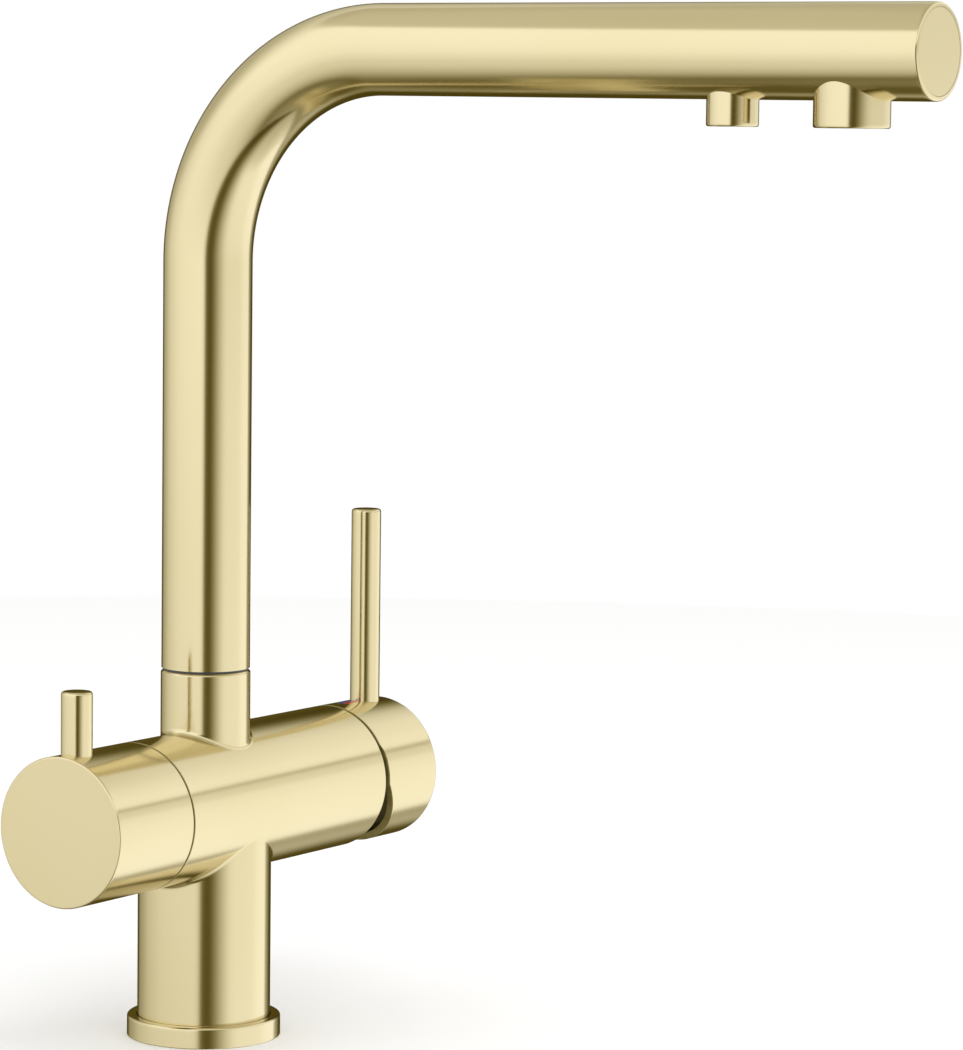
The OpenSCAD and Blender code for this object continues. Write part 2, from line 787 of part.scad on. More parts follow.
module cartridge_rotor() {
    color(plastic) difference() {
        union() {
            on_mixer_axis(rotor_x) cylinder(d = rotor_foot_d, h = rotor_foot_t);
            on_mixer_axis(rotor_x) cylinder(d = rotor_d, h = rotor_end_x - rotor_x);
        }
        translate([rotor_x - cut, -slot_w / 2, axis_h - slot_h / 2])
            cube([rotor_end_x - rotor_x + 2 * cut, slot_w, slot_h]);
        translate([rotor_x - cut, -slot_w / 2, axis_h])
            cube([rotor_foot_t + cut, slot_w, ball_pocket_up]);
        translate([rotor_x - cut, -rail_span / 2 - slip_gap, axis_h - rotor_foot_d / 2])
            cube([rail_t + slip_gap + cut, rail_span + 2 * slip_gap, rotor_foot_d]);
        on_mixer_axis(rotor_ring_x - rotor_ring_t / 2 - fit_gap)
            ring(rotor_d + cut, rotor_groove_d, rotor_ring_t + 2 * fit_gap);
        translate([pivot_x, 0, axis_h])
            rotate([90, 0, 0])
                cylinder(d = pivot_pin_d + 2 * turn_gap, h = rotor_d + 2 * cut, center = true);
    }
}

module rotor_o_ring() {
    color(rubber) on_mixer_axis(rotor_ring_x) o_ring(rotor_groove_d + rotor_ring_t, rotor_ring_t);
}

module pivot_pin() {
    pin_l = rotor_d - 2 * pin_inset;
    color(steel) translate([pivot_x, 0, axis_h])
        rotate([90, 0, 0]) cylinder(d = pivot_pin_d, h = pin_l, center = true);
}

module cartridge_nut() {
    color(brass) difference() {
        union() {
            on_mixer_axis(nut_seat_x) cylinder(d = nut_thread_d, h = nut_thread_l);
            on_mixer_axis(body_right) rod(nut_d, nut_rise, 0, body_edge);
        }
        on_mixer_axis(nut_seat_x - cut)
            cylinder(d = housing_neck_d + 6 * fit_gap, h = nut_end_x - nut_seat_x + 2 * cut);
        for (i = [0:nut_slots - 1])
            on_mixer_axis(nut_end_x - nut_slot_depth)
                rotate([0, 0, i * 360 / nut_slots])
                    translate([0, -nut_slot_w / 2, 0])
                        cube([nut_d, nut_slot_w, nut_slot_depth + cut]);
    }
}

// Mixer handle, which tilts for flow

module mixer_stem() {
    block_x = pivot_x - pivot_block_l / 2;
    color(steel) difference() {
        union() {
            translate([ball_x, 0, axis_h]) sphere(d = stem_ball_d);
            on_mixer_axis(ball_x) cylinder(d = stem_neck_d, h = block_x - ball_x + fit_gap);
            translate([block_x, -stem_square / 2, axis_h - stem_square / 2])
                cube([stem_end_x - block_x, stem_square, stem_square]);
        }
        translate([pivot_x, 0, axis_h])
            rotate([90, 0, 0])
                cylinder(d = pivot_pin_d + 2 * turn_gap, h = stem_square + 2 * cut, center = true);
    }
}

// Hollow cylinder closed at z = l, its boss and the post for its lever
module handle_shell(l, wall, end_t, boss_l, lever_inset) {
    difference() {
        rod(body_d, l, cap_edge, cap_edge);
        translate([0, 0, -cut]) cylinder(d = body_d - 2 * wall, h = l - end_t + cut);
    }
    translate([0, 0, l - end_t - boss_l]) cylinder(d = boss_d, h = boss_l + end_t / 2);
    // The post stands on the boss, towards +x here
    intersection() {
        translate([0, 0, l - lever_inset])
            rotate([0, 90, 0]) cylinder(d = lever_thread_d + 2 * post_wall, h = body_d / 2);
        cylinder(d = body_d - wall, h = l - end_t / 2);
    }
}

// The threaded hole for a lever, cut from the top of cap or knob
module lever_hole(x) {
    foot = axis_h + body_r - lever_thread_l - fit_gap;
    translate([x, 0, foot]) cylinder(d = lever_thread_d + 2 * fit_gap, h = body_top + cut - foot);
}

// The hole for a grub screw, and the wider way to it through the outer wall
module grub_holes(x, seat_y) {
    translate([x, seat_y - fit_gap, axis_h])
        rotate([-90, 0, 0]) cylinder(d = grub_d + 2 * fit_gap, h = body_r);
    translate([x, boss_d / 2 + fit_gap, axis_h])
        rotate([-90, 0, 0]) cylinder(d = grub_access_d, h = body_r);
}

module mixer_cap() {
    socket_w = stem_square + 2 * turn_gap;
    color(gold) difference() {
        on_mixer_axis(cap_x)
            mirror([1, 0, 0])
                handle_shell(cap_l, cap_wall, cap_end_t, cap_boss_l, mixer_lever_inset);
        rim_cut();
        translate([cap_boss_x - cut, -socket_w / 2, axis_h - socket_w / 2])
            cube([stem_end_x + fit_gap - cap_boss_x + cut, socket_w, socket_w]);
        lever_hole(mixer_lever_x);
        grub_holes(mixer_grub_x, stem_square / 2);
        hot_mark_shape();
        mirror([0, 1, 0]) hot_mark_shape();
    }
}

// What the cap's rim leaves open: a step from about half height, and a slope below the axis
module rim_cut() {
    low = body_r + cut;
    outline = [
        [cap_x - cut, rim_step_h + rim_ramp_h],
        [cap_x, rim_step_h + rim_ramp_h],
        [cap_x + rim_step, rim_step_h],
        [cap_x + rim_step, -scoop_h],
        [cap_x + rim_step + (low - scoop_h) * tan(scoop_angle), -low],
        [cap_x - cut, -low]
    ];
    translate([0, low, axis_h])
        rotate([90, 0, 0]) linear_extrude(height = 2 * low) polygon(outline);
}

// The hot half of the mark, let in flush on top of the cap
module hot_mark_shape() {
    mark_x = mixer_lever_x - mixer_lever_d / 2 - mark_gap - mark_l / 2;
    intersection() {
        on_mixer_axis(cap_x) ring(body_d, body_d - 2 * mark_t, cap_l);
        translate([mark_x, 0, axis_h]) linear_extrude(height = body_r + cut) intersection() {
            union() {
                for (side = [-1, 1]) translate([side * (mark_l / 2 - mark_w), 0]) circle(r = mark_w);
                square([mark_l - 2 * mark_w, 2 * mark_w], center = true);
            }
            translate([-mark_l, -2 * mark_w]) square([2 * mark_l, 2 * mark_w]);
        }
    }
}

module hot_mark() {
    color("#c8322f") hot_mark_shape();
}

module cold_mark() {
    color("#2f63b8") mirror([0, 1, 0]) hot_mark_shape();
}

// A lever that stands on the cap or the knob, screwed into it
module lever(x, d, l) {
    color(gold) translate([x, 0, 0]) {
        difference() {
            translate([0, 0, body_top - cut]) rod(d, l + cut, 0, lever_edge);
            translate([-x, 0, 0]) round_of_body();
        }
        translate([0, 0, body_top - lever_thread_l])
            cylinder(d = lever_thread_d, h = lever_thread_l + cut);
    }
}

module mixer_lever() {
    lever(mixer_lever_x, mixer_lever_d, mixer_lever_l);
}

module mixer_grub_screw() {
    color(steel) translate([mixer_grub_x, stem_square / 2, axis_h])
        rotate([-90, 0, 0]) socket_screw(grub_d, grub_l, grub_socket_d, grub_socket_depth);
}

// Filter valve, from its seat outwards

module filter_seat_seal() {
    color(rubber) on_filter_axis(valve_seat_u)
        ring(valve_foot_d - 6 * fit_gap, seat_seal_bore_d, seat_seal_t);
}

module filter_valve_body() {
    color(brass) difference() {
        union() {
            on_filter_axis(valve_foot_u)
                cylinder(d = valve_foot_d, h = body_left - valve_foot_u);
            on_filter_axis(body_left - valve_thread_l)
                cylinder(d = valve_thread_d, h = valve_thread_l);
            on_filter_axis(body_left)
                cylinder(d = hexagon_af / cos(30), h = hexagon_t, $fn = 6);
            on_filter_axis(body_left) cylinder(d = valve_neck_d, h = valve_end_u - body_left);
        }
        on_filter_axis(valve_foot_u - cut)
            cylinder(d = small_disc_d + 2 * fit_gap, h = spindle_shoulder_u - valve_foot_u + cut);
        on_filter_axis(valve_foot_u)
            cylinder(d = spindle_d + 2 * turn_gap, h = valve_end_u - valve_foot_u + cut);
        translate([-small_moving_u - small_disc_t / 2, 0, axis_h])
            cylinder(d = valve_window_d, h = valve_foot_d + cut, center = true);
    }
}

module filter_fixed_disc() {
    color(ceramic) difference() {
        on_filter_axis(valve_foot_u) cylinder(d = small_disc_d, h = small_disc_t);
        for (side = [-1, 1])
            translate([0, 0, side * small_hole_r])
                on_filter_axis(valve_foot_u - cut)
                    cylinder(d = small_hole_d, h = small_disc_t + 2 * cut);
    }
}

// The key by which the spindle turns the moving disc
module disc_key(gap) {
    translate([-spindle_foot_u - fit_gap, -key_w / 2 - gap, axis_h - small_disc_d / 2 - gap])
        cube([key_h + gap + fit_gap, key_w + 2 * gap, small_disc_d + 2 * gap]);
}

module filter_moving_disc() {
    color(ceramic) difference() {
        on_filter_axis(small_moving_u) cylinder(d = small_disc_d, h = small_disc_t);
        for (side = [-1, 1])
            translate([0, side * (small_disc_d - small_notch_d / 2) / 2, 0])
                on_filter_axis(small_moving_u - cut)
                    cylinder(d = small_notch_d, h = small_disc_t + 2 * cut);
        disc_key(fit_gap);
    }
}

module filter_spindle() {
    flat_y = spindle_d / 2 - flat_depth;
    flat_u = valve_end_u + fit_gap;
    color(brass) difference() {
        union() {
            on_filter_axis(spindle_foot_u) cylinder(d = small_disc_d, h = spindle_foot_t);
            on_filter_axis(spindle_foot_u)
                cylinder(d = spindle_d, h = spindle_end_u - spindle_foot_u);
            intersection() {
                disc_key(0);
                on_filter_axis(small_moving_u) cylinder(d = small_disc_d, h = small_disc_t + cut);
            }
        }
        on_filter_axis(spindle_ring_u - spindle_ring_t / 2 - fit_gap)
            ring(spindle_d + cut, spindle_groove_d, spindle_ring_t + 2 * fit_gap);
        translate([-spindle_end_u - cut, flat_y, axis_h - spindle_d / 2])
            cube([spindle_end_u - flat_u + cut, spindle_d, spindle_d]);
    }
}

module spindle_o_ring() {
    color(rubber) on_filter_axis(spindle_ring_u)
        o_ring(spindle_groove_d + spindle_ring_t, spindle_ring_t);
}

module filter_knob() {
    color(gold) difference() {
        on_filter_axis(knob_u)
            handle_shell(knob_l, knob_wall, knob_face_t, knob_boss_l, filter_lever_inset);
        on_filter_axis(knob_boss_u - cut)
            cylinder(d = spindle_d + 2 * fit_gap, h = spindle_end_u + fit_gap - knob_boss_u + cut);
        lever_hole(-filter_lever_u);
        grub_holes(-filter_grub_u, spindle_d / 2 - flat_depth);
    }
}

module filter_lever() {
    lever(-filter_lever_u, filter_lever_d, filter_lever_l);
}

module filter_grub_screw() {
    color(steel) translate([-filter_grub_u, spindle_d / 2 - flat_depth, axis_h])
        rotate([-90, 0, 0]) socket_screw(grub_d, grub_l, grub_socket_d, grub_socket_depth);
}

// Spout, which swivels about the column's axis

module spout_tube() {
    color(gold) difference() {
        along_spout(tube_d, tube_foot, spout_reach);
        along_spout(tube_bore_d, tube_foot - cut, spout_reach + cut);
        translate([0, -spout_reach, spout_h]) rotate([90, 0, 0]) end_edge(tube_d, tip_edge);
        under_tube(mixed_y, mixed_hole_d, 0);
        under_tube(filter_y, straightener_bore_d, 0);
    }
}

// A bar from a nozzle's outlet, or below it, up to the spout's axis
module under_tube(y, d, from_outlet) {
    translate([0, y, outlet_h + from_outlet]) cylinder(d = d, h = nozzle_drop - from_outlet);
}

module nozzle(y, d, bore_d) {
    color(gold) difference() {
        translate([0, y, outlet_h]) rod(d, nozzle_drop, nozzle_edge, 0);
        under_tube(y, bore_d, -cut);
        translate([0, -bend_r, spout_h]) rotate([90, 0, 0]) cylinder(d = tube_d, h = spout_reach);
    }
}

module mixed_nozzle() {
    nozzle(mixed_y, mixed_nozzle_d, aerator_bore_d);
}

module filter_nozzle() {
    nozzle(filter_y, filter_nozzle_d, straightener_bore_d);
}

module spout_end_cap() {
    color(gold) translate([0, end_cap_inset + end_cap_t - spout_reach, spout_h])
        rotate([90, 0, 0]) rod(tube_bore_d - 2 * fit_gap, end_cap_t, 0, tip_edge / 2);
}

module spout_bush() {
    color(plastic) translate([0, 0, bush_foot]) difference() {
        union() {
            cylinder(d = bush_neck_d, h = bush_in_neck);
            translate([0, 0, bush_in_neck])
                cylinder(d = tube_bore_d - 2 * turn_gap, h = bush_in_tube);
        }
        translate([0, 0, -cut])
            cylinder(d = bush_bore_d, h = bush_in_neck + bush_in_tube + 2 * cut);
        for (i = [0, 1]) bush_groove(groove_first + i * groove_pitch, groove_w, groove_d);
        bush_groove(keeper_up, keeper_groove_w, groove_d);
        bush_groove(glide_ring_up + glide_ring_w / 2, glide_ring_w, glide_floor_d);
    }
}

// A groove round the bush, centred at this height above the bush's foot
module bush_groove(up, w, floor_d) {
    translate([0, 0, up - w / 2]) ring(bush_neck_d + cut, floor_d, w);
}

module spout_o_rings() {
    color(rubber) for (i = [0, 1])
        translate([0, 0, bush_foot + groove_first + i * groove_pitch])
            o_ring(groove_d + spout_ring_t, spout_ring_t);
}

module bush_glide_ring() {
    color(ceramic) translate([0, 0, bush_foot + glide_ring_up + lap_gap])
        ring(neck_bore_d - lap_gap, glide_floor_d, glide_ring_w - 2 * lap_gap);
}

// Round holes in rings about the z axis, with one in the middle
module hole_rings(hole_d, h) {
    cylinder(d = hole_d, h = h, $fn = 24);
    for (ring_no = [1:hole_rings])
        for (i = [0:6 * ring_no - 1])
            rotate([0, 0, i * 360 / (6 * ring_no)])
                translate([ring_no * hole_pitch, 0, 0]) cylinder(d = hole_d, h = h, $fn = 24);
}

module aerator_body() {
    outer_d = aerator_bore_d - 2 * fit_gap;
    inner_d = outer_d - 2 * aerator_wall;
    color(plastic) translate([0, mixed_y, outlet_h + outlet_inset]) difference() {
        cylinder(d = outer_d, h = aerator_h);
        translate([0, 0, aerator_floor_t])
            cylinder(d = inner_d - 2 * aerator_ledge, h = aerator_h);
        translate([0, 0, aerator_h - screen_t]) cylinder(d = inner_d, h = screen_t + cut);
        translate([0, 0, -cut]) hole_rings(aerator_hole_d, aerator_floor_t + 2 * cut);
    }
}

module aerator_screen() {
    screen_d = aerator_bore_d - 2 * aerator_wall - 4 * fit_gap;
    color(steel) translate([0, mixed_y, outlet_h + outlet_inset + aerator_h - screen_t])
        difference() {
            cylinder(d = screen_d, h = screen_t);
            translate([0, 0, -cut]) hole_rings(screen_hole_d, screen_t + 2 * cut);
        }
}

module aerator_seal() {
    color(rubber) translate([0, mixed_y, outlet_h + outlet_inset + aerator_h])
        ring(aerator_bore_d - 2 * fit_gap, mixed_hole_d + 2 * fit_gap, outlet_seal_t);
}

module flow_straightener() {
    color(plastic) translate([0, filter_y, outlet_h + outlet_inset]) difference() {
        cylinder(d = straightener_bore_d - 2 * fit_gap, h = straightener_h);
        translate([0, 0, -cut]) cylinder(d = straightener_hole_d, h = straightener_h + 2 * cut);
        for (i = [0:straightener_holes - 1])
            rotate([0, 0, i * 360 / straightener_holes])
                translate([straightener_hole_r, 0, -cut])
                    cylinder(d = straightener_hole_d, h = straightener_h + 2 * cut);
    }
}

module filter_elbow() {
    foot = outlet_h + outlet_inset + straightener_h;
    bore_d = inner_tube_d - 2 * inner_tube_wall;
    arm_end = filter_y + elbow_arm_l;
    color(plastic) difference() {
        union() {
            translate([0, filter_y, foot])
                cylinder(d = straightener_bore_d - 2 * fit_gap, h = elbow_collar_l);
            translate([0, filter_y, foot]) cylinder(d = elbow_d, h = spout_h + elbow_rise - foot);
            translate([0, filter_y, spout_h])
                rotate([-90, 0, 0]) cylinder(d = elbow_arm_d, h = elbow_arm_l);
        }
        translate([0, filter_y, foot - cut]) cylinder(d = bore_d, h = spout_h - foot + cut);
        translate([0, filter_y, spout_h])
            rotate([-90, 0, 0]) cylinder(d = bore_d, h = elbow_arm_l);
        translate([0, arm_end - tube_in_elbow, spout_h])
            rotate([-90, 0, 0]) cylinder(d = inner_tube_d + fit_gap, h = tube_in_elbow + cut);
    }
}

module filter_water_tube() {
    foot = chamber_foot + plug_rise - tube_in_plug;
    reach = tube_in_elbow - elbow_arm_l - filter_y;
    color(tubing) difference() {
        along_spout(inner_tube_d, foot, reach);
        along_spout(inner_tube_d - 2 * inner_tube_wall, foot - cut, reach + cut);
    }
}

module filter_tube_plug() {
    plug_top = chamber_foot + plug_rise;
    color(plastic) difference() {
        translate([0, 0, plug_foot]) cylinder(d = plug_d, h = plug_top - plug_foot);
        translate([0, 0, plug_foot - cut])
            cylinder(d = inner_tube_d - 2 * inner_tube_wall, h = plug_top - plug_foot + 2 * cut);
        translate([0, 0, plug_top - tube_in_plug])
            cylinder(d = inner_tube_d + fit_gap, h = tube_in_plug + cut);
        translate([0, 0, plug_foot + plug_ring_up - plug_ring_t / 2 - fit_gap])
            ring(plug_d + cut, plug_groove_d, plug_ring_t + 2 * fit_gap);
    }
}

module plug_o_ring() {
    color(rubber) translate([0, 0, plug_foot + plug_ring_up])
        o_ring(plug_groove_d + plug_ring_t, plug_ring_t);
}

tap_body();
inlet_block();
base_flange();
base_gasket();
mounting_shank();
rubber_washer();
steel_washer();
back_nut();
spout_keeper_screw();
glide_washer();
cartridge_seals();
cartridge_base();
cartridge_housing();
mixer_fixed_disc();
cartridge_nut();
cartridge_rotor();
rotor_o_ring();
pivot_pin();
mixer_moving_disc();
disc_carrier();
mixer_stem();
mixer_cap();
mixer_lever();
mixer_grub_screw();
hot_mark();
cold_mark();
filter_valve_body();
filter_seat_seal();
filter_fixed_disc();
filter_moving_disc();
filter_spindle();
spindle_o_ring();
filter_knob();
filter_lever();
filter_grub_screw();
spout_tube();
spout_end_cap();
spout_bush();
spout_o_rings();
bush_glide_ring();
mixed_nozzle();
aerator_body();
aerator_screen();
aerator_seal();
filter_nozzle();
flow_straightener();
filter_elbow();
filter_water_tube();
filter_tube_plug();
plug_o_ring();
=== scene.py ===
import math

import bmesh
import bpy
import numpy as np
from mathutils import Matrix, Vector


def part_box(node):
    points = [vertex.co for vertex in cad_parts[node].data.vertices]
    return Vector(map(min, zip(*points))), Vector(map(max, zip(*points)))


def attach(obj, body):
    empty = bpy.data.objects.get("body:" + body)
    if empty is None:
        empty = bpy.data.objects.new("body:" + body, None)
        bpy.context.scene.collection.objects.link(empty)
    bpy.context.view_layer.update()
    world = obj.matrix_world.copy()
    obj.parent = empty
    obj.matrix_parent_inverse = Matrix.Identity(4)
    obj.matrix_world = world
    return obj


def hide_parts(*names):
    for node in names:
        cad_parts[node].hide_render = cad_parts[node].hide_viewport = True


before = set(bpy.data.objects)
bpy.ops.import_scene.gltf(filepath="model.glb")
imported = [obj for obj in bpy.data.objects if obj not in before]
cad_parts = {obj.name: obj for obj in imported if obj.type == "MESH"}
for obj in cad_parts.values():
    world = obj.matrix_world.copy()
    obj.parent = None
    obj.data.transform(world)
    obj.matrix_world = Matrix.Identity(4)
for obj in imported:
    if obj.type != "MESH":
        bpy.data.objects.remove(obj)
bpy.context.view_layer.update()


def mm(length):
    """Millimetres as metres."""
    return length * 0.001


def low(node):
    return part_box(node)[0]


def high(node):
    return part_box(node)[1]


def middle(node):
    return (low(node) + high(node)) / 2


# Places and radii that the frame gives
AXIS_H = middle("filter_knob").z
BODY_R = high("tap_body").y
BODY_LEFT = low("tap_body").x
BODY_RIGHT = high("tap_body").x
BODY_FOOT = low("tap_body").z
NECK_TOP = high("tap_body").z
CAP_X = low("mixer_cap").x
CAP_END_X = high("mixer_cap").x
KNOB_X = high("filter_knob").x
KNOB_END_X = low("filter_knob").x
TUBE_R = high("spout_tube").x
TUBE_FOOT = low("spout_tube").z
SPOUT_H = high("spout_tube").z - TUBE_R
TIP_Y = low("spout_tube").y

# Sizes inside the casting and the flange, which their boxes don't give. An end of a bore is its X or Z.
COLUMN_R = mm(22.65)
NECK_R = mm(15.2)
NECK_CHAMFER = mm(0.7)
NECK_BORE_R, NECK_BORE_FOOT = mm(12.05), mm(97.6)
HOSE_WAY_R, HOSE_WAY_TOP = mm(16.6), mm(30)
VALVE_WAY_R, VALVE_WAY_END = mm(9.05), mm(-22)
NUT_WAY_R, NUT_WAY_END = mm(20.6), mm(64)
CARTRIDGE_WAY_R, CARTRIDGE_WAY_END = mm(17.6), mm(40)
KEEPER_WAY_R, KEEPER_WAY_FROM, KEEPER_WAY_TO = mm(2.1), mm(10), mm(20)
FILLET_R = mm(2)
FLANGE_BORE_R, FLANGE_RECESS_R = mm(16.9), mm(22.9)
# How far column and neck stop short of the cross body's axis
SHORT_OF_AXIS = mm(8)

# The same for the shank, with its thread's half widths at root and crest as shares of the pitch
SHANK_WALL = mm(2.2)
THREAD_PITCH = mm(1.5)
THREAD_DEPTH_SHARE = 0.61
THREAD_ROOT_SHARE, THREAD_CREST_SHARE = 0.41, 0.06

# The same for the spout
TUBE_WALL = mm(1.5)
BEND_R = mm(71)
MIXED_BORE_R, FILTER_BORE_R = mm(10.6), mm(6)
# How far the end disc stands inside the tip
DISC_INSET = mm(0.04)

# The same for cap, knob and levers
CAP_WALL = mm(2.3)
CAP_RIM_L = mm(2)
KNOB_WALL = mm(2.5)
END_WALL = mm(4)
BOSS_R = mm(8)
CAP_BOSS_X, KNOB_BOSS_X = mm(85), mm(-53.2)
POST_R = mm(6)
LEVER_THREAD_R, LEVER_THREAD_PLAY = mm(3), mm(0.1)
LEVER_THREAD_TOP, LEVER_WAY_TOP = mm(20), mm(30)
GRUB_HOLE_R, GRUB_HOLE_FROM, GRUB_HOLE_TO = mm(2.6), mm(4), mm(30)
STEM_WAY_W, STEM_WAY_FROM, STEM_WAY_L = mm(8.2), mm(84.5), mm(14)
SPINDLE_WAY_R, SPINDLE_WAY_FROM, SPINDLE_WAY_TO = mm(4), mm(-50), mm(-60)

# The marks: their rounded corners, thickness and how far they stand out of the cap
MARK_INSET, MARK_CORNER = mm(0.05), mm(0.5)
MARK_T, MARK_PROUD = mm(0.4), mm(0.06)

# Roundings of edges, from edges that are only broken to the levers' ends
BROKEN = mm(0.2)
SMALL_EDGE = mm(0.3)
BODY_EDGE = mm(0.4)
HANDLE_EDGE = mm(0.5)
NOZZLE_EDGE = mm(0.7)
FLANGE_EDGE = mm(0.8)
TIP_EDGE = mm(0.9)
LEVER_EDGE = mm(1)
# How far one part of a piece runs into another, and a foot or ridge into the round that it follows
SUNK = mm(1)
OVERLAP, NOZZLE_OVERLAP = mm(0.1), mm(0.3)

# Steps round a turned piece, round a small one and a hole, across a rounded edge, along the spout's bend,
# round one turn of a thread, and across a mark
ROUND_STEPS = 160
LEVER_STEPS = 96
SMALL_STEPS = 64
HOLE_STEPS = 40
EDGE_STEPS = 5
BEND_STEPS = 72
THREAD_STEPS = 60
MARK_STEPS = 8
# The point past a rounded corner is this many roundings from it, on a side of at least that many
FLAT_FROM, FLAT_SIDE = 1.8, 4
# Points nearer than this are one
MERGE = mm(0.001)
# Faces that meet at more than this angle keep a sharp edge between them
SHARP_ANGLE = math.radians(32)
# Faces that look this much along the cross body's axis lie in a joint, and get the darker brass painted as
# the joint's shade
ENDWAYS = 0.3


# Shapes

def round_off(bm, corner, rounding):
    """Rounds a corner of an outline, with a point past each end of the arc that keeps its neighbours flat."""
    for side in list(corner.link_edges):
        length = side.calc_length()
        if length > FLAT_SIDE * rounding:
            bmesh.utils.edge_split(side, corner, FLAT_FROM * rounding / length)
    bmesh.ops.bevel(bm, geom=[corner], offset=rounding, affect="VERTICES", segments=EDGE_STEPS, profile=0.5)


def turned(*outline, steps=ROUND_STEPS):
    """A closed solid turned about Z from its outline's corners, each (radius, height) or with a rounding."""
    bm = bmesh.new()
    corners = [bm.verts.new((place[0], 0, place[1])) for place in outline]
    for one, other in zip(corners, corners[1:] + corners[:1]):
        if one.co.x > 0 or other.co.x > 0:
            bm.edges.new((one, other))
    for corner, place in zip(corners, outline):
        if len(place) == 3:
            round_off(bm, corner, place[2])
    bmesh.ops.spin(bm, geom=bm.verts[:] + bm.edges[:], axis=(0, 0, 1), cent=(0, 0, 0),
                   angle=math.tau, steps=steps, use_merge=True)
    return closed(bm)


def closed(bm):
    """Merges doubled points, such as poles, and points the faces outwards."""
    bmesh.ops.remove_doubles(bm, verts=bm.verts, dist=MERGE)
    bmesh.ops.dissolve_degenerate(bm, edges=bm.edges, dist=MERGE / 10)
    bmesh.ops.recalc_face_normals(bm, faces=bm.faces)
    return bm


def moved(bm, x=0, y=0, z=0):
    bmesh.ops.translate(bm, verts=bm.verts, vec=(x, y, z))
    return bm


def along_mixer_axis(bm):
    """Lays a turned solid down, so that its heights become X, on the axis of body, cap and knob."""
    bmesh.ops.rotate(bm, verts=bm.verts, cent=(0, 0, 0), matrix=Matrix.Rotation(math.pi / 2, 3, "Y"))
    return moved(bm, z=AXIS_H)


def facing_back(bm, x=0, z=0):
    """Lays a turned solid down, so that its heights become Y."""
    bmesh.ops.rotate(bm, verts=bm.verts, cent=(0, 0, 0), matrix=Matrix.Rotation(-math.pi / 2, 3, "X"))
    return moved(bm, x=x, z=z)


def together(*shells):
    """Several closed shells as one mesh."""
    whole = bmesh.new()
    for shell in shells:
        mesh = bpy.data.meshes.new("shell")
        shell.to_mesh(mesh)
        shell.free()
        whole.from_mesh(mesh)
        bpy.data.meshes.remove(mesh)
    return whole


def bored(bm, *cutters):
    """The solid less each cutter."""
    solid = linked("solid", bm)
    tools = [linked("cutter", cutter) for cutter in cutters]
    for tool in tools:
        bore = solid.modifiers.new("bore", "BOOLEAN")
        bore.operation, bore.solver, bore.object = "DIFFERENCE", "EXACT", tool
    done = bmesh.new()
    done.from_object(solid, bpy.context.evaluated_depsgraph_get())
    for spent in [solid, *tools]:
        bpy.data.objects.remove(spent)
    return closed(done)


def linked(name, bm):
    """An object of a finished mesh, in the scene."""
    mesh = bpy.data.meshes.new(name)
    bm.to_mesh(mesh)
    bm.free()
    made = bpy.data.objects.new(name, mesh)
    bpy.context.scene.collection.objects.link(made)
    return made


def piece(name, bm, material, body, slot, *replaced, lines=None, joint=None):
    """A finished piece, which rides on a body and stands for the CAD nodes that it replaces. The faces at
    which joint is true lie in a joint with the next piece and get the darker joint brass, as painted shade."""
    made = linked(name, bm)
    made.data.materials.append(material)
    if joint:
        made.data.materials.append(JOINT_SHADE_BRASS)
        for face in made.data.polygons:
            face.material_index = int(joint(face.center, face.normal))
    made.data.shade_smooth()
    made.data.set_sharp_from_angle(angle=SHARP_ANGLE)
    if lines:
        write_brush(made.data, *lines)
    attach(made, body)
    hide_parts(*replaced)
    return made


# The brush attribute holds, in metres, how far a point is across the brush lines and two lengths along
# them. Lines run round what was turned, as on a ring of one radius, and along the bent tube.
BRUSH_RING_R = mm(20)


def round_lines(co, axis, x=0, y=0, z=0):
    """Lines round an axis through (x, y, z)."""
    turn = "XYZ".index(axis)
    off = co - np.array((x, y, z))
    one, two = off[:, (turn + 1) % 3], off[:, (turn + 2) % 3]
    away = np.hypot(one, two)
    angle = np.arctan2(two, one)
    return np.stack([off[:, turn] + away, BRUSH_RING_R * np.cos(angle), BRUSH_RING_R * np.sin(angle)], 1)


def spout_lines(co):
    """Lines along the spout's centre line, with their seam under the level part and behind the riser."""
    bend_h = SPOUT_H - BEND_R
    in_bend = np.arctan2(co[:, 2] - bend_h, co[:, 1] + BEND_R)
    riser, level = co[:, 2] < bend_h, co[:, 1] < -BEND_R
    out = np.hypot(co[:, 1] + BEND_R, co[:, 2] - bend_h) - BEND_R
    side = np.where(riser, co[:, 1], np.where(level, co[:, 2] - SPOUT_H, out))
    run = np.where(riser, co[:, 2], np.where(level, bend_h + BEND_R * math.pi / 2 - BEND_R - co[:, 1],
                                             bend_h + BEND_R * in_bend))
    across = TUBE_R * np.arctan2(co[:, 0], side)
    return np.stack([across, run, np.zeros(len(co))], 1)


def write_brush(mesh, way, *args):
    co = np.zeros(len(mesh.vertices) * 3, np.float32)
    mesh.vertices.foreach_get("co", co)
    brush = mesh.attributes.new("brush", "FLOAT_VECTOR", "POINT")
    brush.data.foreach_set("vector", way(co.reshape(-1, 3), *args).astype(np.float32).ravel())


# Materials

def linear(hex_colour):
    """An sRGB hex colour as linear RGBA."""
    parts = [int(hex_colour[i:i + 2], 16) / 255 for i in (0, 2, 4)]
    return tuple(c / 12.92 if c <= 0.04045 else ((c + 0.055) / 1.055) ** 2.4 for c in parts) + (1,)


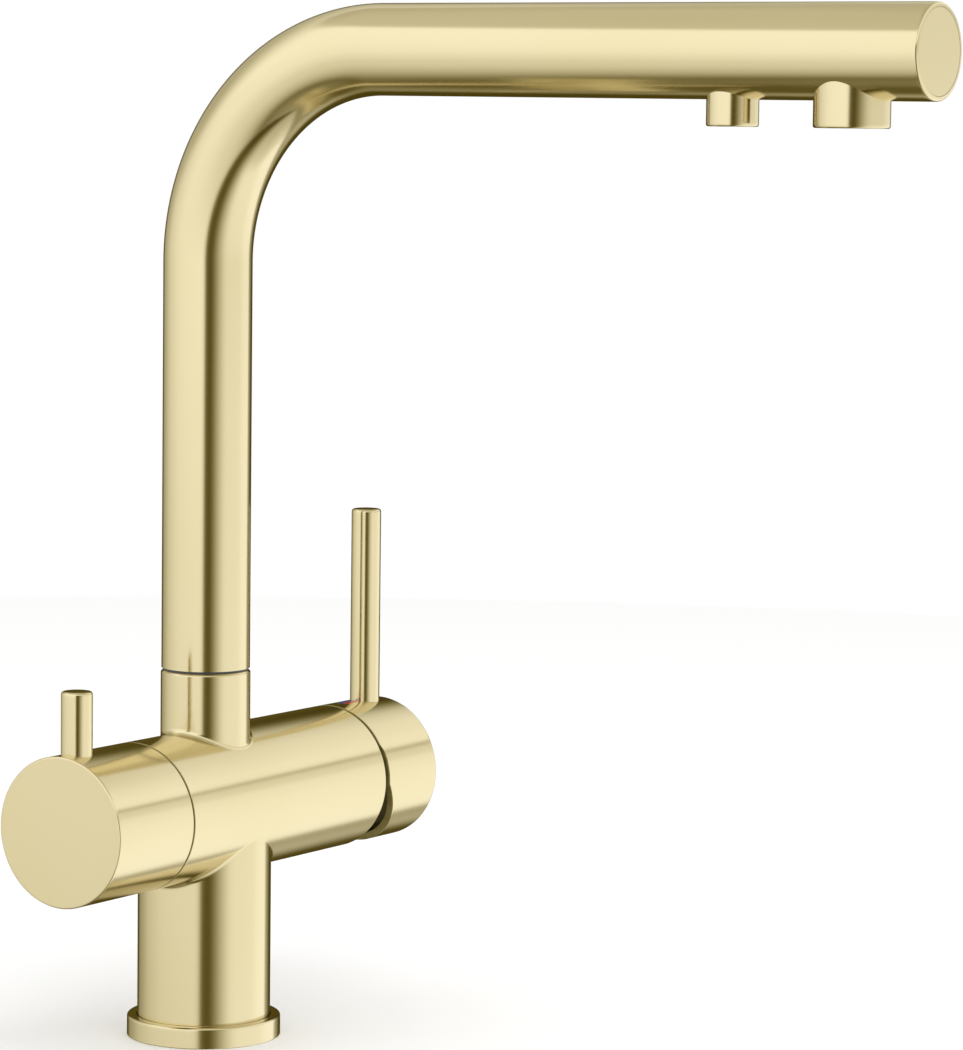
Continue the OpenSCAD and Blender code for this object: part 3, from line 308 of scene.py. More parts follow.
def add(tree, kind, settings=None, values=None, links=None, stops=()):
    """Adds a node with its settings, its input values, links into it from other nodes' outputs, and the
    (position, sRGB hex) stops of its colour ramp."""
    node = tree.nodes.new(kind)
    for key, value in (settings or {}).items():
        setattr(node, key, value)
    for key, value in (values or {}).items():
        node.inputs[key].default_value = value
    for key, source in (links or {}).items():
        tree.links.new(source, node.inputs[key])
    if stops:
        marks = node.color_ramp.elements
        while len(marks) < len(stops):
            marks.new(0.5)
        for mark, (position, colour) in zip(marks, stops):
            mark.position, mark.color = position, linear(colour)
    return node


def new_material(name, colour, metallic, roughness):
    """A material with its shader's plain values, for a texture to be added to."""
    material = bpy.data.materials.new(name)
    material.use_nodes = True
    material.diffuse_color = linear(colour)
    tree = material.node_tree
    shader = tree.nodes["Principled BSDF"]
    shader.inputs["Base Color"].default_value = linear(colour)
    shader.inputs["Metallic"].default_value = metallic
    shader.inputs["Roughness"].default_value = roughness
    return material, tree, shader


def dress(tree, shader, tone, grain, dark, pale, least, most, strength, depth):
    """Gives the shader a colour from dark to pale by tone, and by grain a roughness from least to most
    and a relief."""
    colour = add(tree, "ShaderNodeValToRGB", links={"Fac": tone}, stops=[(0.3, dark), (0.7, pale)])
    rough = add(tree, "ShaderNodeMapRange", {}, {"To Min": least, "To Max": most}, {"Value": grain})
    bump = add(tree, "ShaderNodeBump", {}, {"Strength": strength, "Distance": depth}, {"Height": grain})
    tree.links.new(colour.outputs["Color"], shader.inputs["Base Color"])
    tree.links.new(rough.outputs["Result"], shader.inputs["Roughness"])
    tree.links.new(bump.outputs["Normal"], shader.inputs["Normal"])


# Satin gold: brass with a gold coloured PVD skin over fine linishing. The skin is smooth, so lights show
# with soft edges. The real lines are 0.05 mm apart; they are drawn 0.4 mm apart so that they show at all.
GOLD_LINE = mm(0.4)
GOLD_LINE_LENGTH = mm(30)
GOLD_CLOUD = mm(60)


def satin_gold_skin():
    material, tree, shader = new_material("satin_gold_pvd_on_linished_brass", "dacea7", 1, 0.15)
    brush = add(tree, "ShaderNodeAttribute", {"attribute_name": "brush"}).outputs["Vector"]
    scale = {"Scale": (1 / GOLD_LINE, 1 / GOLD_LINE_LENGTH, 1 / GOLD_LINE_LENGTH)}
    stretched = add(tree, "ShaderNodeMapping", {}, scale, {"Vector": brush}).outputs["Vector"]
    lines = add(tree, "ShaderNodeTexNoise", {}, {"Scale": 1}, {"Vector": stretched}).outputs["Fac"]
    place = add(tree, "ShaderNodeTexCoord").outputs["Object"]
    cloud = add(tree, "ShaderNodeTexNoise", {}, {"Scale": 1 / GOLD_CLOUD, "Detail": 1}, {"Vector": place})
    dress(tree, shader, cloud.outputs["Fac"], lines, "d9cda5", "dbcfa9", least=0.13, most=0.18,
          strength=0.03, depth=mm(0.0015))
    return material


def machined_metal(name, pale, dark, roughness, tool_mark, metallic=1):
    """Turned or milled metal: fine marks of the tool, with a slight change of tone."""
    material, tree, shader = new_material(name, pale, metallic, roughness)
    place = add(tree, "ShaderNodeTexCoord").outputs["Object"]
    noise = add(tree, "ShaderNodeTexNoise", {}, {"Scale": 1 / tool_mark, "Detail": 3}, {"Vector": place})
    marks = noise.outputs["Fac"]
    dress(tree, shader, marks, marks, dark, pale, least=roughness * 0.8, most=roughness * 1.25,
          strength=0.12, depth=mm(0.05))
    return material


def moulded(name, pale, dark, roughness, grain, ior=1.5, depth=mm(0.04)):
    """Moulded rubber or plastic: the fine grain of its mould, and a slight change of tone."""
    material, tree, shader = new_material(name, pale, 0, roughness)
    shader.inputs["IOR"].default_value = ior
    place = add(tree, "ShaderNodeTexCoord").outputs["Object"]
    noise = add(tree, "ShaderNodeTexNoise", {}, {"Scale": 1 / grain, "Detail": 4}, {"Vector": place})
    skin = noise.outputs["Fac"]
    dress(tree, shader, skin, skin, dark, pale, least=roughness * 0.85, most=roughness * 1.15,
          strength=0.15, depth=depth)
    return material


GOLD = satin_gold_skin()
# Free-cutting brass, turned and left bare: warm yellow with slightly dull tool marks
BRASS = machined_metal("turned_brass", "d8b767", "c6a353", 0.3, mm(0.8))
# The same brass made darker, olive and duller for the faces in the joints: painted shade for the joints
JOINT_SHADE_BRASS = machined_metal("brass_darkened_as_joint_shade", "948953", "82773f", 0.5, mm(3), 0.5)
# Stainless steel, turned: cool grey, brighter than the brass
STEEL = machined_metal("turned_stainless_steel", "c9cbce", "b4b7bb", 0.28, mm(0.8))
# Glass-filled nylon of cartridge parts: dark grey, dull from the mould
NYLON = moulded("moulded_dark_nylon", "3f4248", "34373c", 0.5, mm(1.2), 1.53)
# Sintered alumina discs: off-white, lapped nearly to a polish
CERAMIC = moulded("lapped_alumina_ceramic", "f2efe8", "e9e5dc", 0.18, mm(1.5), 1.76, mm(0.01))
# Nitrile rubber of rings and washers: near black, dull
RUBBER = moulded("nitrile_rubber", "262626", "1d1d1d", 0.7, mm(0.9), 1.52)
# Acetal glide rings: milky white, slightly waxy
ACETAL = moulded("acetal_glide_plastic", "e9e8e2", "dedcd4", 0.4, mm(1.2), 1.48)
# Cross-linked polyethylene tube: milky, smooth from the extruder
TUBING = moulded("extruded_pe_tubing", "dfe6ea", "d3dbe0", 0.35, mm(1.4), 1.5)
# Stoved enamel in the two marks: glossy, even colour
RED = moulded("red_enamel", "c23a2c", "b83226", 0.2, mm(0.8), 1.5, mm(0.01))
BLUE = moulded("blue_enamel", "2f62b4", "2857a4", 0.2, mm(0.8), 1.5, mm(0.01))

FINISHES = {
    GOLD: ["spout_keeper_screw"],
    BRASS: ["inlet_block", "back_nut", "cartridge_nut", "filter_valve_body", "filter_spindle"],
    STEEL: ["steel_washer", "pivot_pin", "mixer_stem", "mixer_grub_screw", "filter_grub_screw",
            "aerator_screen"],
    # The glide washer is given this dark nylon so that the seam it lies in shows dark: painted shade for that
    # seam.
    NYLON: ["cartridge_housing", "cartridge_base", "cartridge_rotor", "disc_carrier", "spout_bush",
            "filter_tube_plug", "filter_elbow", "glide_washer"],
    CERAMIC: ["mixer_fixed_disc", "mixer_moving_disc", "filter_fixed_disc", "filter_moving_disc"],
    RUBBER: ["base_gasket", "rubber_washer", "cartridge_seals", "rotor_o_ring", "filter_seat_seal",
             "spindle_o_ring", "spout_o_rings", "plug_o_ring", "aerator_seal"],
    ACETAL: ["bush_glide_ring", "aerator_body", "flow_straightener"],
    TUBING: ["filter_water_tube"],
}
for finish, nodes in FINISHES.items():
    for node in nodes:
        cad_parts[node].data.materials.clear()
        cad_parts[node].data.materials.append(finish)


# Column, cross body and neck, one casting. A fillet's back lies inside the upright part, at this share of
# its radius.
FILLET_SUNK_SHARE = 0.96


def fillet(upright_r, rounding, above):
    """The rounded inner corner between an upright round part and the cross body, as a ball rolling in it
    leaves it. above is 1 over the cross body and -1 under it."""
    bm = bmesh.new()
    sections = []
    reach = upright_r + rounding
    share = BODY_R / (BODY_R + rounding)
    for step in range(ROUND_STEPS):
        angle = math.tau * step / ROUND_STEPS
        outwards = Vector((math.cos(angle), math.sin(angle), 0))
        ball = reach * outwards
        ball.z = above * math.sqrt((BODY_R + rounding) ** 2 - ball.y ** 2)
        on_upright = upright_r * outwards + Vector((0, 0, ball.z))
        on_body = Vector((ball.x, ball.y * share, ball.z * share))
        start, end = on_upright - ball, on_body - ball
        swing = start.angle(end)
        arc = []
        for k in range(2 * EDGE_STEPS + 1):
            part = swing * k / (2 * EDGE_STEPS)
            arc.append(ball + (start * math.sin(swing - part) + end * math.sin(part)) / math.sin(swing))
        hidden = FILLET_SUNK_SHARE * upright_r * outwards + Vector((0, 0, on_body.z - above * rounding / 3))
        sections.append([bm.verts.new(point) for point in arc + [hidden]])
    for one, other in zip(sections, sections[1:] + sections[:1]):
        for k in range(len(one)):
            bm.faces.new((one[k - 1], one[k], other[k], other[k - 1]))
    return moved(closed(bm), z=AXIS_H)


column = together(
    turned((HOSE_WAY_R, BODY_FOOT), (COLUMN_R, BODY_FOOT, BROKEN), (COLUMN_R, AXIS_H - SHORT_OF_AXIS),
           (0, AXIS_H - SHORT_OF_AXIS), (0, HOSE_WAY_TOP), (HOSE_WAY_R, HOSE_WAY_TOP)),
    fillet(COLUMN_R, FILLET_R, -1))
piece("column_of_the_casting", column, GOLD, "root", "brushed_gold", "tap_body", lines=(round_lines, "Z"))

cross_body = along_mixer_axis(turned(
    (0, VALVE_WAY_END), (VALVE_WAY_R, VALVE_WAY_END), (VALVE_WAY_R, BODY_LEFT),
    (BODY_R, BODY_LEFT, BODY_EDGE), (BODY_R, BODY_RIGHT, BODY_EDGE), (NUT_WAY_R, BODY_RIGHT, BROKEN),
    (NUT_WAY_R, NUT_WAY_END), (CARTRIDGE_WAY_R, NUT_WAY_END), (CARTRIDGE_WAY_R, CARTRIDGE_WAY_END),
    (0, CARTRIDGE_WAY_END)))
piece("cross_body_of_the_casting", cross_body, GOLD, "root", "brushed_gold", "tap_body",
      lines=(round_lines, "X", 0, 0, AXIS_H), joint=lambda at, facing: abs(facing.x) > ENDWAYS)

neck = bored(
    turned((0, AXIS_H + SHORT_OF_AXIS), (NECK_R, AXIS_H + SHORT_OF_AXIS),
           (NECK_R, NECK_TOP - NECK_CHAMFER, BROKEN), (NECK_R - NECK_CHAMFER, NECK_TOP, BROKEN * 0.75),
           (NECK_BORE_R, NECK_TOP), (NECK_BORE_R, NECK_BORE_FOOT), (0, NECK_BORE_FOOT)),
    facing_back(turned((0, KEEPER_WAY_FROM), (KEEPER_WAY_R, KEEPER_WAY_FROM), (KEEPER_WAY_R, KEEPER_WAY_TO),
                       (0, KEEPER_WAY_TO), steps=HOLE_STEPS), z=middle("spout_keeper_screw").z))
piece("neck_of_the_casting", together(neck, fillet(NECK_R, FILLET_R, 1)), GOLD, "root", "brushed_gold",
      "tap_body", lines=(round_lines, "Z"))

flange_r, flange_top = high("base_flange").x, high("base_flange").z
flange = turned((FLANGE_BORE_R, 0), (flange_r, 0, SMALL_EDGE), (flange_r, flange_top, FLANGE_EDGE),
                (FLANGE_RECESS_R, flange_top, BROKEN), (FLANGE_RECESS_R, BODY_FOOT),
                (FLANGE_BORE_R, BODY_FOOT))
piece("base_flange_ring", flange, GOLD, "root", "brushed_gold", "base_flange", lines=(round_lines, "Z"))


def threaded(node, wall):
    """A tube with a thread of 60 degrees round it, from near its foot to near its top."""
    r, foot, top = high(node).x, low(node).z, high(node).z
    root_r = r - THREAD_DEPTH_SHARE * THREAD_PITCH
    core = turned((r - wall, foot, SMALL_EDGE), (root_r, foot, BODY_EDGE), (root_r, top, BODY_EDGE),
                  (r - wall, top))
    ridge = bmesh.new()
    lower = [(root_r - OVERLAP, -THREAD_ROOT_SHARE), (root_r, -THREAD_ROOT_SHARE), (r, -THREAD_CREST_SHARE)]
    section = lower + [(x, -share) for x, share in reversed(lower)]
    corners = [ridge.verts.new((x, 0, foot + (1 + share) * THREAD_PITCH)) for x, share in section]
    for one, other in zip(corners, corners[1:] + corners[:1]):
        ridge.edges.new((one, other))
    bmesh.ops.spin(ridge, geom=ridge.verts[:] + ridge.edges[:], axis=(0, 0, 1), cent=(0, 0, 0),
                   dvec=(0, 0, THREAD_PITCH / THREAD_STEPS), angle=math.tau, steps=THREAD_STEPS)
    turn = ridge.verts[:] + ridge.edges[:] + ridge.faces[:]
    for count in range(1, int((top - foot) / THREAD_PITCH) - 2):
        made = bmesh.ops.duplicate(ridge, geom=turn)["geom"]
        bmesh.ops.translate(ridge, verts=[v for v in made if isinstance(v, bmesh.types.BMVert)],
                            vec=(0, 0, count * THREAD_PITCH))
    bmesh.ops.remove_doubles(ridge, verts=ridge.verts, dist=MERGE)
    bmesh.ops.holes_fill(ridge, edges=ridge.edges, sides=len(section))
    return together(core, closed(ridge))


piece("threaded_mounting_shank", threaded("mounting_shank", SHANK_WALL), BRASS, "root", "bare_brass",
      "mounting_shank")


# Spout

def swept_along_spout(radius, rim_r, rounding):
    """A skin that follows the spout's centre line from its foot to its tip, with a flat rim at each end
    down to rim_r and its edge at the tip rounded."""
    bm = bmesh.new()
    ring = bmesh.ops.create_circle(bm, segments=ROUND_STEPS, radius=rim_r)["verts"]
    loop = list({edge for vert in ring for edge in vert.link_edges})
    bmesh.ops.translate(bm, verts=ring, vec=(0, 0, TUBE_FOOT))

    def onwards(y=0, z=0, share=1, centre=(0, 0, TUBE_FOOT)):
        nonlocal loop
        made = bmesh.ops.extrude_edge_only(bm, edges=loop)["geom"]
        ends = [v for v in made if isinstance(v, bmesh.types.BMVert)]
        bmesh.ops.scale(bm, verts=ends, vec=(share, share, share), space=Matrix.Translation(-Vector(centre)))
        bmesh.ops.translate(bm, verts=ends, vec=(0, y, z))
        loop = [e for e in made if isinstance(e, bmesh.types.BMEdge)]

    onwards(share=radius / rim_r)
    onwards(z=SPOUT_H - BEND_R - TUBE_FOOT)
    made = bmesh.ops.spin(bm, geom=loop, axis=(1, 0, 0), cent=(0, -BEND_R, SPOUT_H - BEND_R),
                          angle=math.pi / 2, steps=BEND_STEPS)["geom_last"]
    loop = [e for e in made if isinstance(e, bmesh.types.BMEdge)]
    onwards(y=TIP_Y + 2 * rounding + BEND_R)
    onwards(y=-rounding)
    y, was = TIP_Y + rounding, radius
    for step in range(1, EDGE_STEPS + 1):
        angle = step / EDGE_STEPS * math.pi / 2
        now = radius - rounding * (1 - math.cos(angle))
        onwards(TIP_Y + rounding * (1 - math.sin(angle)) - y, share=now / was, centre=(0, y, SPOUT_H))
        y, was = TIP_Y + rounding * (1 - math.sin(angle)), now
    onwards(share=rim_r / was, centre=(0, TIP_Y, SPOUT_H))
    return bm


bore_r = TUBE_R - TUBE_WALL
tube = closed(together(swept_along_spout(TUBE_R, bore_r, TIP_EDGE), swept_along_spout(bore_r, bore_r, 0)))
piece("bent_spout_tube", tube, GOLD, "spout", "brushed_gold", "spout_tube", lines=(spout_lines,))

disc_r, disc_front, disc_back = high("spout_end_cap").x, TIP_Y + DISC_INSET, high("spout_end_cap").y
end_cap = facing_back(turned((0, disc_front), (disc_r, disc_front, BROKEN / 4), (disc_r, disc_back),
                             (0, disc_back)), z=SPOUT_H)
piece("spout_end_disc", end_cap, GOLD, "spout", "brushed_gold", "spout_end_cap")


def nozzle(node, bore_r):
    """A nozzle whose top follows the round of the level tube."""
    r, foot, y = high(node).x, low(node).z, middle(node).y
    top = SPOUT_H - TUBE_R + SUNK
    bm = turned((bore_r, foot, SMALL_EDGE), (r, foot, NOZZLE_EDGE), (r, top), (bore_r, top))
    for vert in bm.verts:
        if vert.co.z > top - MERGE:
            vert.co.z = SPOUT_H - math.sqrt((TUBE_R - NOZZLE_OVERLAP) ** 2 - vert.co.x ** 2)
    return moved(bm, y=y), (round_lines, "Z", 0, y, 0)


for name, node, bore in (("mixed_water_nozzle", "mixed_nozzle", MIXED_BORE_R),
                         ("filtered_water_nozzle", "filter_nozzle", FILTER_BORE_R)):
    shape, lines = nozzle(node, bore)
    piece(name, shape, GOLD, "spout", "brushed_gold", node, lines=lines)


# Mixer cap, its lever and the marks

def cap_rim(height):
    """How far the cap's rim is set back, at a height over the axis: an even seam, a ramp down to a step,
    and the scoop below it."""
    step_top, step_foot, scoop_top = mm(13), mm(10.3), mm(-0.8)
    seam, step, slope = mm(0.5), mm(1.2), math.tan(math.radians(28))
    if height > step_top:
        return seam
    if height > step_foot:
        return seam + step * (step_top - height) / (step_top - step_foot)
    return seam + step + max(0, scoop_top - height) * slope


def cup(rim_x, end_x, wall, rim=None):
    """A turned cup along the mixer's axis, closed at its outer end."""
    out = math.copysign(1, end_x - rim_x)
    bm = turned((BODY_R, rim_x, BODY_EDGE), (BODY_R, end_x, HANDLE_EDGE), (0, end_x),
                (0, end_x - out * END_WALL), (BODY_R - wall, end_x - out * END_WALL),
                (BODY_R - wall, rim_x, BROKEN), steps=2 * ROUND_STEPS)
    bm = along_mixer_axis(bm)
    if rim:
        for vert in bm.verts:
            if vert.co.x < rim_x + CAP_RIM_L:
                vert.co.x += rim(vert.co.z - AXIS_H)
    return bm


def lever_post(lever):
    """The post inside cap or knob that takes the lever's thread."""
    top = AXIS_H + BODY_R - SUNK
    return moved(turned((0, AXIS_H), (POST_R, AXIS_H), (POST_R, top), (0, top), steps=SMALL_STEPS),
                 x=middle(lever).x)


def boss(near_x, far_x):
    """The boss on the closed end, which takes the stem or the spindle."""
    return along_mixer_axis(turned((0, near_x), (BOSS_R, near_x, SMALL_EDGE), (BOSS_R, far_x), (0, far_x),
                                   steps=SMALL_STEPS))


def grub_hole(x):
    """The hole in the back of cap or knob through which its grub screw is turned."""
    return facing_back(turned((0, GRUB_HOLE_FROM), (GRUB_HOLE_R, GRUB_HOLE_FROM), (GRUB_HOLE_R, GRUB_HOLE_TO),
                              (0, GRUB_HOLE_TO), steps=HOLE_STEPS), x=x, z=AXIS_H)


def thread_hole(lever):
    """The hole in cap or knob for the lever's thread."""
    foot, top = low(lever).z, AXIS_H + LEVER_WAY_TOP
    return moved(turned((0, foot), (LEVER_THREAD_R, foot), (LEVER_THREAD_R, top), (0, top),
                        steps=HOLE_STEPS), x=middle(lever).x)


def lever_pin(lever):
    """A lever: its thread, then the round pin whose foot follows the round of cap or knob."""
    r, foot, top = high(lever).y, low(lever).z, high(lever).z
    thread_r, seat = LEVER_THREAD_R - LEVER_THREAD_PLAY, AXIS_H + LEVER_THREAD_TOP
    bm = turned((0, foot), (thread_r, foot, BODY_EDGE), (thread_r, seat), (r, seat), (r, top, LEVER_EDGE),
                (0, top), steps=LEVER_STEPS)
    for vert in bm.verts:
        if abs(vert.co.z - seat) < MERGE:
            vert.co.z = AXIS_H + math.sqrt((BODY_R - OVERLAP) ** 2 - vert.co.y ** 2)
    x = middle(lever).x
    return moved(bm, x=x), (round_lines, "Z", x, 0, 0)


# The square way in the cap's boss for the stem
stem_way = bmesh.new()
bmesh.ops.create_cube(stem_way, size=1)
bmesh.ops.scale(stem_way, verts=stem_way.verts, vec=(STEM_WAY_L, STEM_WAY_W, STEM_WAY_W))
moved(stem_way, x=STEM_WAY_FROM + STEM_WAY_L / 2, z=AXIS_H)


def in_cap(at):
    """Whether a point is on the cap's inner wall, which gets the darker brass painted as shade inside the
    cap.
    """
    return math.hypot(at.y, at.z - AXIS_H) < BODY_R - SUNK and at.x < CAP_END_X - SUNK


cap = bored(together(cup(CAP_X, CAP_END_X, CAP_WALL, cap_rim), boss(CAP_BOSS_X, CAP_END_X - SUNK),
                     lever_post("mixer_lever")),
            thread_hole("mixer_lever"), grub_hole(middle("mixer_grub_screw").x), stem_way)
piece("scooped_mixer_cap", cap, GOLD, "mixer_handle", "brushed_gold", "mixer_cap",
      lines=(round_lines, "X", 0, 0, AXIS_H), joint=lambda at, facing: facing.x < -ENDWAYS or in_cap(at))
pin, lines = lever_pin("mixer_lever")
piece("mixer_lever_pin", pin, GOLD, "mixer_handle", "brushed_gold", "mixer_lever", lines=lines)


def mark(node):
    """A mark let into the cap and standing slightly proud of it, with rounded corners."""
    near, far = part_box(node)
    inset = 2 * MARK_INSET
    bm = bmesh.new()
    bmesh.ops.create_grid(bm, x_segments=1, y_segments=1, size=0.5)
    bmesh.ops.scale(bm, verts=bm.verts, vec=(far.x - near.x - inset, far.y - near.y - inset, 1))
    moved(bm, x=(near.x + far.x) / 2, y=(near.y + far.y) / 2)
    bmesh.ops.bevel(bm, geom=bm.verts[:], offset=MARK_CORNER, affect="VERTICES", segments=4, profile=0.5)
    for cut in range(1, MARK_STEPS):
        bmesh.ops.bisect_plane(bm, geom=bm.verts[:] + bm.edges[:] + bm.faces[:], plane_no=(0, 1, 0),
                               plane_co=(0, near.y + (far.y - near.y) * cut / MARK_STEPS, 0))
    plate = bmesh.ops.extrude_face_region(bm, geom=bm.faces[:])["geom"]
    for vert in [v for v in plate if isinstance(v, bmesh.types.BMVert)]:
        vert.co.z = MARK_T
    for vert in bm.verts:
        vert.co.z += AXIS_H + math.sqrt(BODY_R ** 2 - vert.co.y ** 2) - (MARK_T - MARK_PROUD)
    return closed(bm)


piece("hot_mark_red", mark("hot_mark"), RED, "mixer_handle", "red_enamel", "hot_mark")
piece("cold_mark_blue", mark("cold_mark"), BLUE, "mixer_handle", "blue_enamel", "cold_mark")

# Filter knob and its lever
spindle_way = along_mixer_axis(turned(
    (0, SPINDLE_WAY_FROM), (SPINDLE_WAY_R, SPINDLE_WAY_FROM), (SPINDLE_WAY_R, SPINDLE_WAY_TO),
    (0, SPINDLE_WAY_TO), steps=SMALL_STEPS))
knob = bored(together(cup(KNOB_X, KNOB_END_X, KNOB_WALL), boss(KNOB_BOSS_X, KNOB_END_X + SUNK),
                      lever_post("filter_lever")),
             thread_hole("filter_lever"), grub_hole(middle("filter_grub_screw").x), spindle_way)
piece("filter_knob_cup", knob, GOLD, "filter_handle", "brushed_gold", "filter_knob",
      lines=(round_lines, "X", 0, 0, AXIS_H), joint=lambda at, facing: facing.x > ENDWAYS)
pin, lines = lever_pin("filter_lever")
piece("filter_lever_pin", pin, GOLD, "filter_handle", "brushed_gold", "filter_lever", lines=lines)


# Floor, studio and camera

FLOOR_R = 30
floor_bm = bmesh.new()
bmesh.ops.create_circle(floor_bm, cap_ends=True, segments=64, radius=FLOOR_R)
floor = linked("floor", floor_bm)
# Matt white studio board
board, tree, shader = new_material("matt_white_board", "ffffff", 0, 0.9)
floor.data.materials.append(board)
floor.visible_glossy = False

# The dome stands for the studio's soft boxes and dark flags. Only reflections see it. Its brightness is
# given by the angle round it from the camera's own side, and by its height.
DOME_R = 1.3
CAMERA_AZ = math.radians(-56.74072)
DOME_AROUND = [(-180, 0.42), (-160, 0.4), (-144, 0.34), (-132, 0.37), (-120, 0.5), (-108, 0.63),
               (-90, 0.72), (-72, 0.8), (-48, 0.83), (-11, 0.85), (-6, 0.72), (-1, 0.12), (4, 0.08),
               (11, 0.07), (17, 0.13), (23, 0.25), (30, 0.42), (39, 0.63), (48, 0.8), (58, 0.86),
               (84, 0.87), (96, 0.89), (108, 0.97), (132, 0.98), (137, 0.3), (150, 0.4), (180, 0.4)]
DOME_UP_LEFT = [(-1, 0.32), (-0.86, 0.24), (-0.79, 0.17), (-0.7, 0.42), (-0.6, 0.62), (-0.5, 0.73),
                (-0.4, 0.82), (-0.3, 0.88), (-0.2, 0.89), (-0.12, 0.95), (-0.05, 1), (0.1, 1.08), (0.2, 1.14),
                (0.4, 1.18), (0.7, 1.21), (0.81, 1.22), (0.84, 0.7), (1, 0.66)]
DOME_UP_RIGHT = [(-1, 0.5), (-0.75, 0.8), (-0.65, 1.06), (-0.3, 1.03), (0, 1), (0.2, 0.93), (0.27, 0.76),
                 (0.34, 0.76), (0.355, 0.42), (0.38, 0.42), (0.4, 1.03), (0.5, 1.1), (0.6, 1.03),
                 (0.7, 0.84), (0.8, 0.62), (1, 0.5)]
# Half the width, in metres, over which the left list of heights gives way to the right one
DOME_BLEND = 0.15
# Heights between which the boxes round the set give way to the one overhead. This and the next two spans
# are shares of the dome's radius.
DOME_OVERHEAD = (0.3, 0.55)
# The way in which the box overhead darkens, seen from the camera: x to the right, y away. Then the span
# in which it does so and its levels at both ends.
DOME_BACK_LEFT = (math.sin(math.radians(-25)), math.cos(math.radians(-25)), 0)
DOME_CEILING, DOME_CEILING_LEVELS = (0.3, 0.8), (0.82, 0.34)
# Where the flag behind the set begins and where it is full, and what it lets through there
DOME_FLAG, DOME_FLAG_LEVEL = (0.74, 0.9), 0.12
# The flags are warm: the darker the part of the dome, the deeper its gold
DOME_TINTS = [(0, "140f02"), (0.05, "483e11"), (0.095, "5f572e"), (0.26, "928c72"), (0.49, "bdbaaa"),
              (0.71, "dddbd3"), (1, "ffffff")]
DOME_STRENGTH = 1.35
# A curve ends at 1, so it holds the levels divided by this
MOST_LEVEL = 2


def levels(tree, factor, stops, first, last):
    """A brightness by position, from (position, level) stops between first and last."""
    ends = {"From Min": first, "From Max": last}
    spot = add(tree, "ShaderNodeMapRange", {}, ends, {"Value": factor}).outputs["Result"]
    curve = add(tree, "ShaderNodeFloatCurve", links={"Value": spot})
    points = curve.mapping.curves[0].points
    while len(points) < len(stops):
        points.new(0.5, 0.5)
    for point, (position, level) in zip(points, stops):
        point.location = ((position - first) / (last - first), level / MOST_LEVEL)
        point.handle_type = "VECTOR"
    curve.mapping.update()
    level = add(tree, "ShaderNodeMath", {"operation": "MULTIPLY"}, {1: MOST_LEVEL},
                {0: curve.outputs["Value"]})
    return level.outputs[0]


dome_bm = bmesh.new()
bmesh.ops.create_uvsphere(dome_bm, u_segments=96, v_segments=48, radius=DOME_R)
bmesh.ops.reverse_faces(dome_bm, faces=dome_bm.faces)
dome = linked("studio_dome", dome_bm)
dome_light = bpy.data.materials.new("studio_soft_boxes_and_flags")
dome_light.use_nodes = True
tree = dome_light.node_tree
tree.nodes.clear()
place = add(tree, "ShaderNodeTexCoord").outputs["Object"]
parts = add(tree, "ShaderNodeSeparateXYZ", links={"Vector": place})
# Turned so that the camera's side is at angle 0 and angles grow to the right seen from the camera
turned_place = add(tree, "ShaderNodeVectorRotate", {"rotation_type": "Z_AXIS"}, {"Angle": -CAMERA_AZ},
                   {"Vector": place})
flat = add(tree, "ShaderNodeSeparateXYZ", links={"Vector": turned_place.outputs["Vector"]})
away = add(tree, "ShaderNodeMath", {"operation": "MULTIPLY"}, {1: -1}, {0: flat.outputs["Y"]})
around = add(tree, "ShaderNodeMath", {"operation": "ARCTAN2"},
             links={0: flat.outputs["X"], 1: away.outputs[0]}).outputs[0]
around_light = levels(tree, around, [(math.radians(a), v) for a, v in DOME_AROUND], -math.pi, math.pi)
left_light = levels(tree, parts.outputs["Z"], [(h * DOME_R, v) for h, v in DOME_UP_LEFT], -DOME_R, DOME_R)
right_light = levels(tree, parts.outputs["Z"], [(h * DOME_R, v) for h, v in DOME_UP_RIGHT], -DOME_R, DOME_R)
to_right = add(tree, "ShaderNodeMapRange", {}, {"From Min": -DOME_BLEND, "From Max": DOME_BLEND},
               {"Value": flat.outputs["X"]}).outputs["Result"]
side_light = add(tree, "ShaderNodeMix", links={"Factor": to_right, 2: left_light, 3: right_light}).outputs[0]
overhead = add(tree, "ShaderNodeMapRange", {"interpolation_type": "SMOOTHSTEP"},
               {"From Min": DOME_OVERHEAD[0] * DOME_R, "From Max": DOME_OVERHEAD[1] * DOME_R},
               {"Value": parts.outputs["Z"]}).outputs["Result"]
to_back = add(tree, "ShaderNodeVectorMath", {"operation": "DOT_PRODUCT"}, {1: DOME_BACK_LEFT},
              {0: turned_place.outputs["Vector"]}).outputs["Value"]
ceiling = add(tree, "ShaderNodeMapRange", {"interpolation_type": "SMOOTHSTEP"},
              {"From Min": DOME_CEILING[0] * DOME_R, "From Max": DOME_CEILING[1] * DOME_R,
               "To Min": DOME_CEILING_LEVELS[0], "To Max": DOME_CEILING_LEVELS[1]},
              {"Value": to_back}).outputs["Result"]
all_round = add(tree, "ShaderNodeMix", links={"Factor": overhead, 2: around_light, 3: ceiling}).outputs[0]
lit = add(tree, "ShaderNodeMath", {"operation": "MULTIPLY"}, links={0: all_round, 1: side_light}).outputs[0]
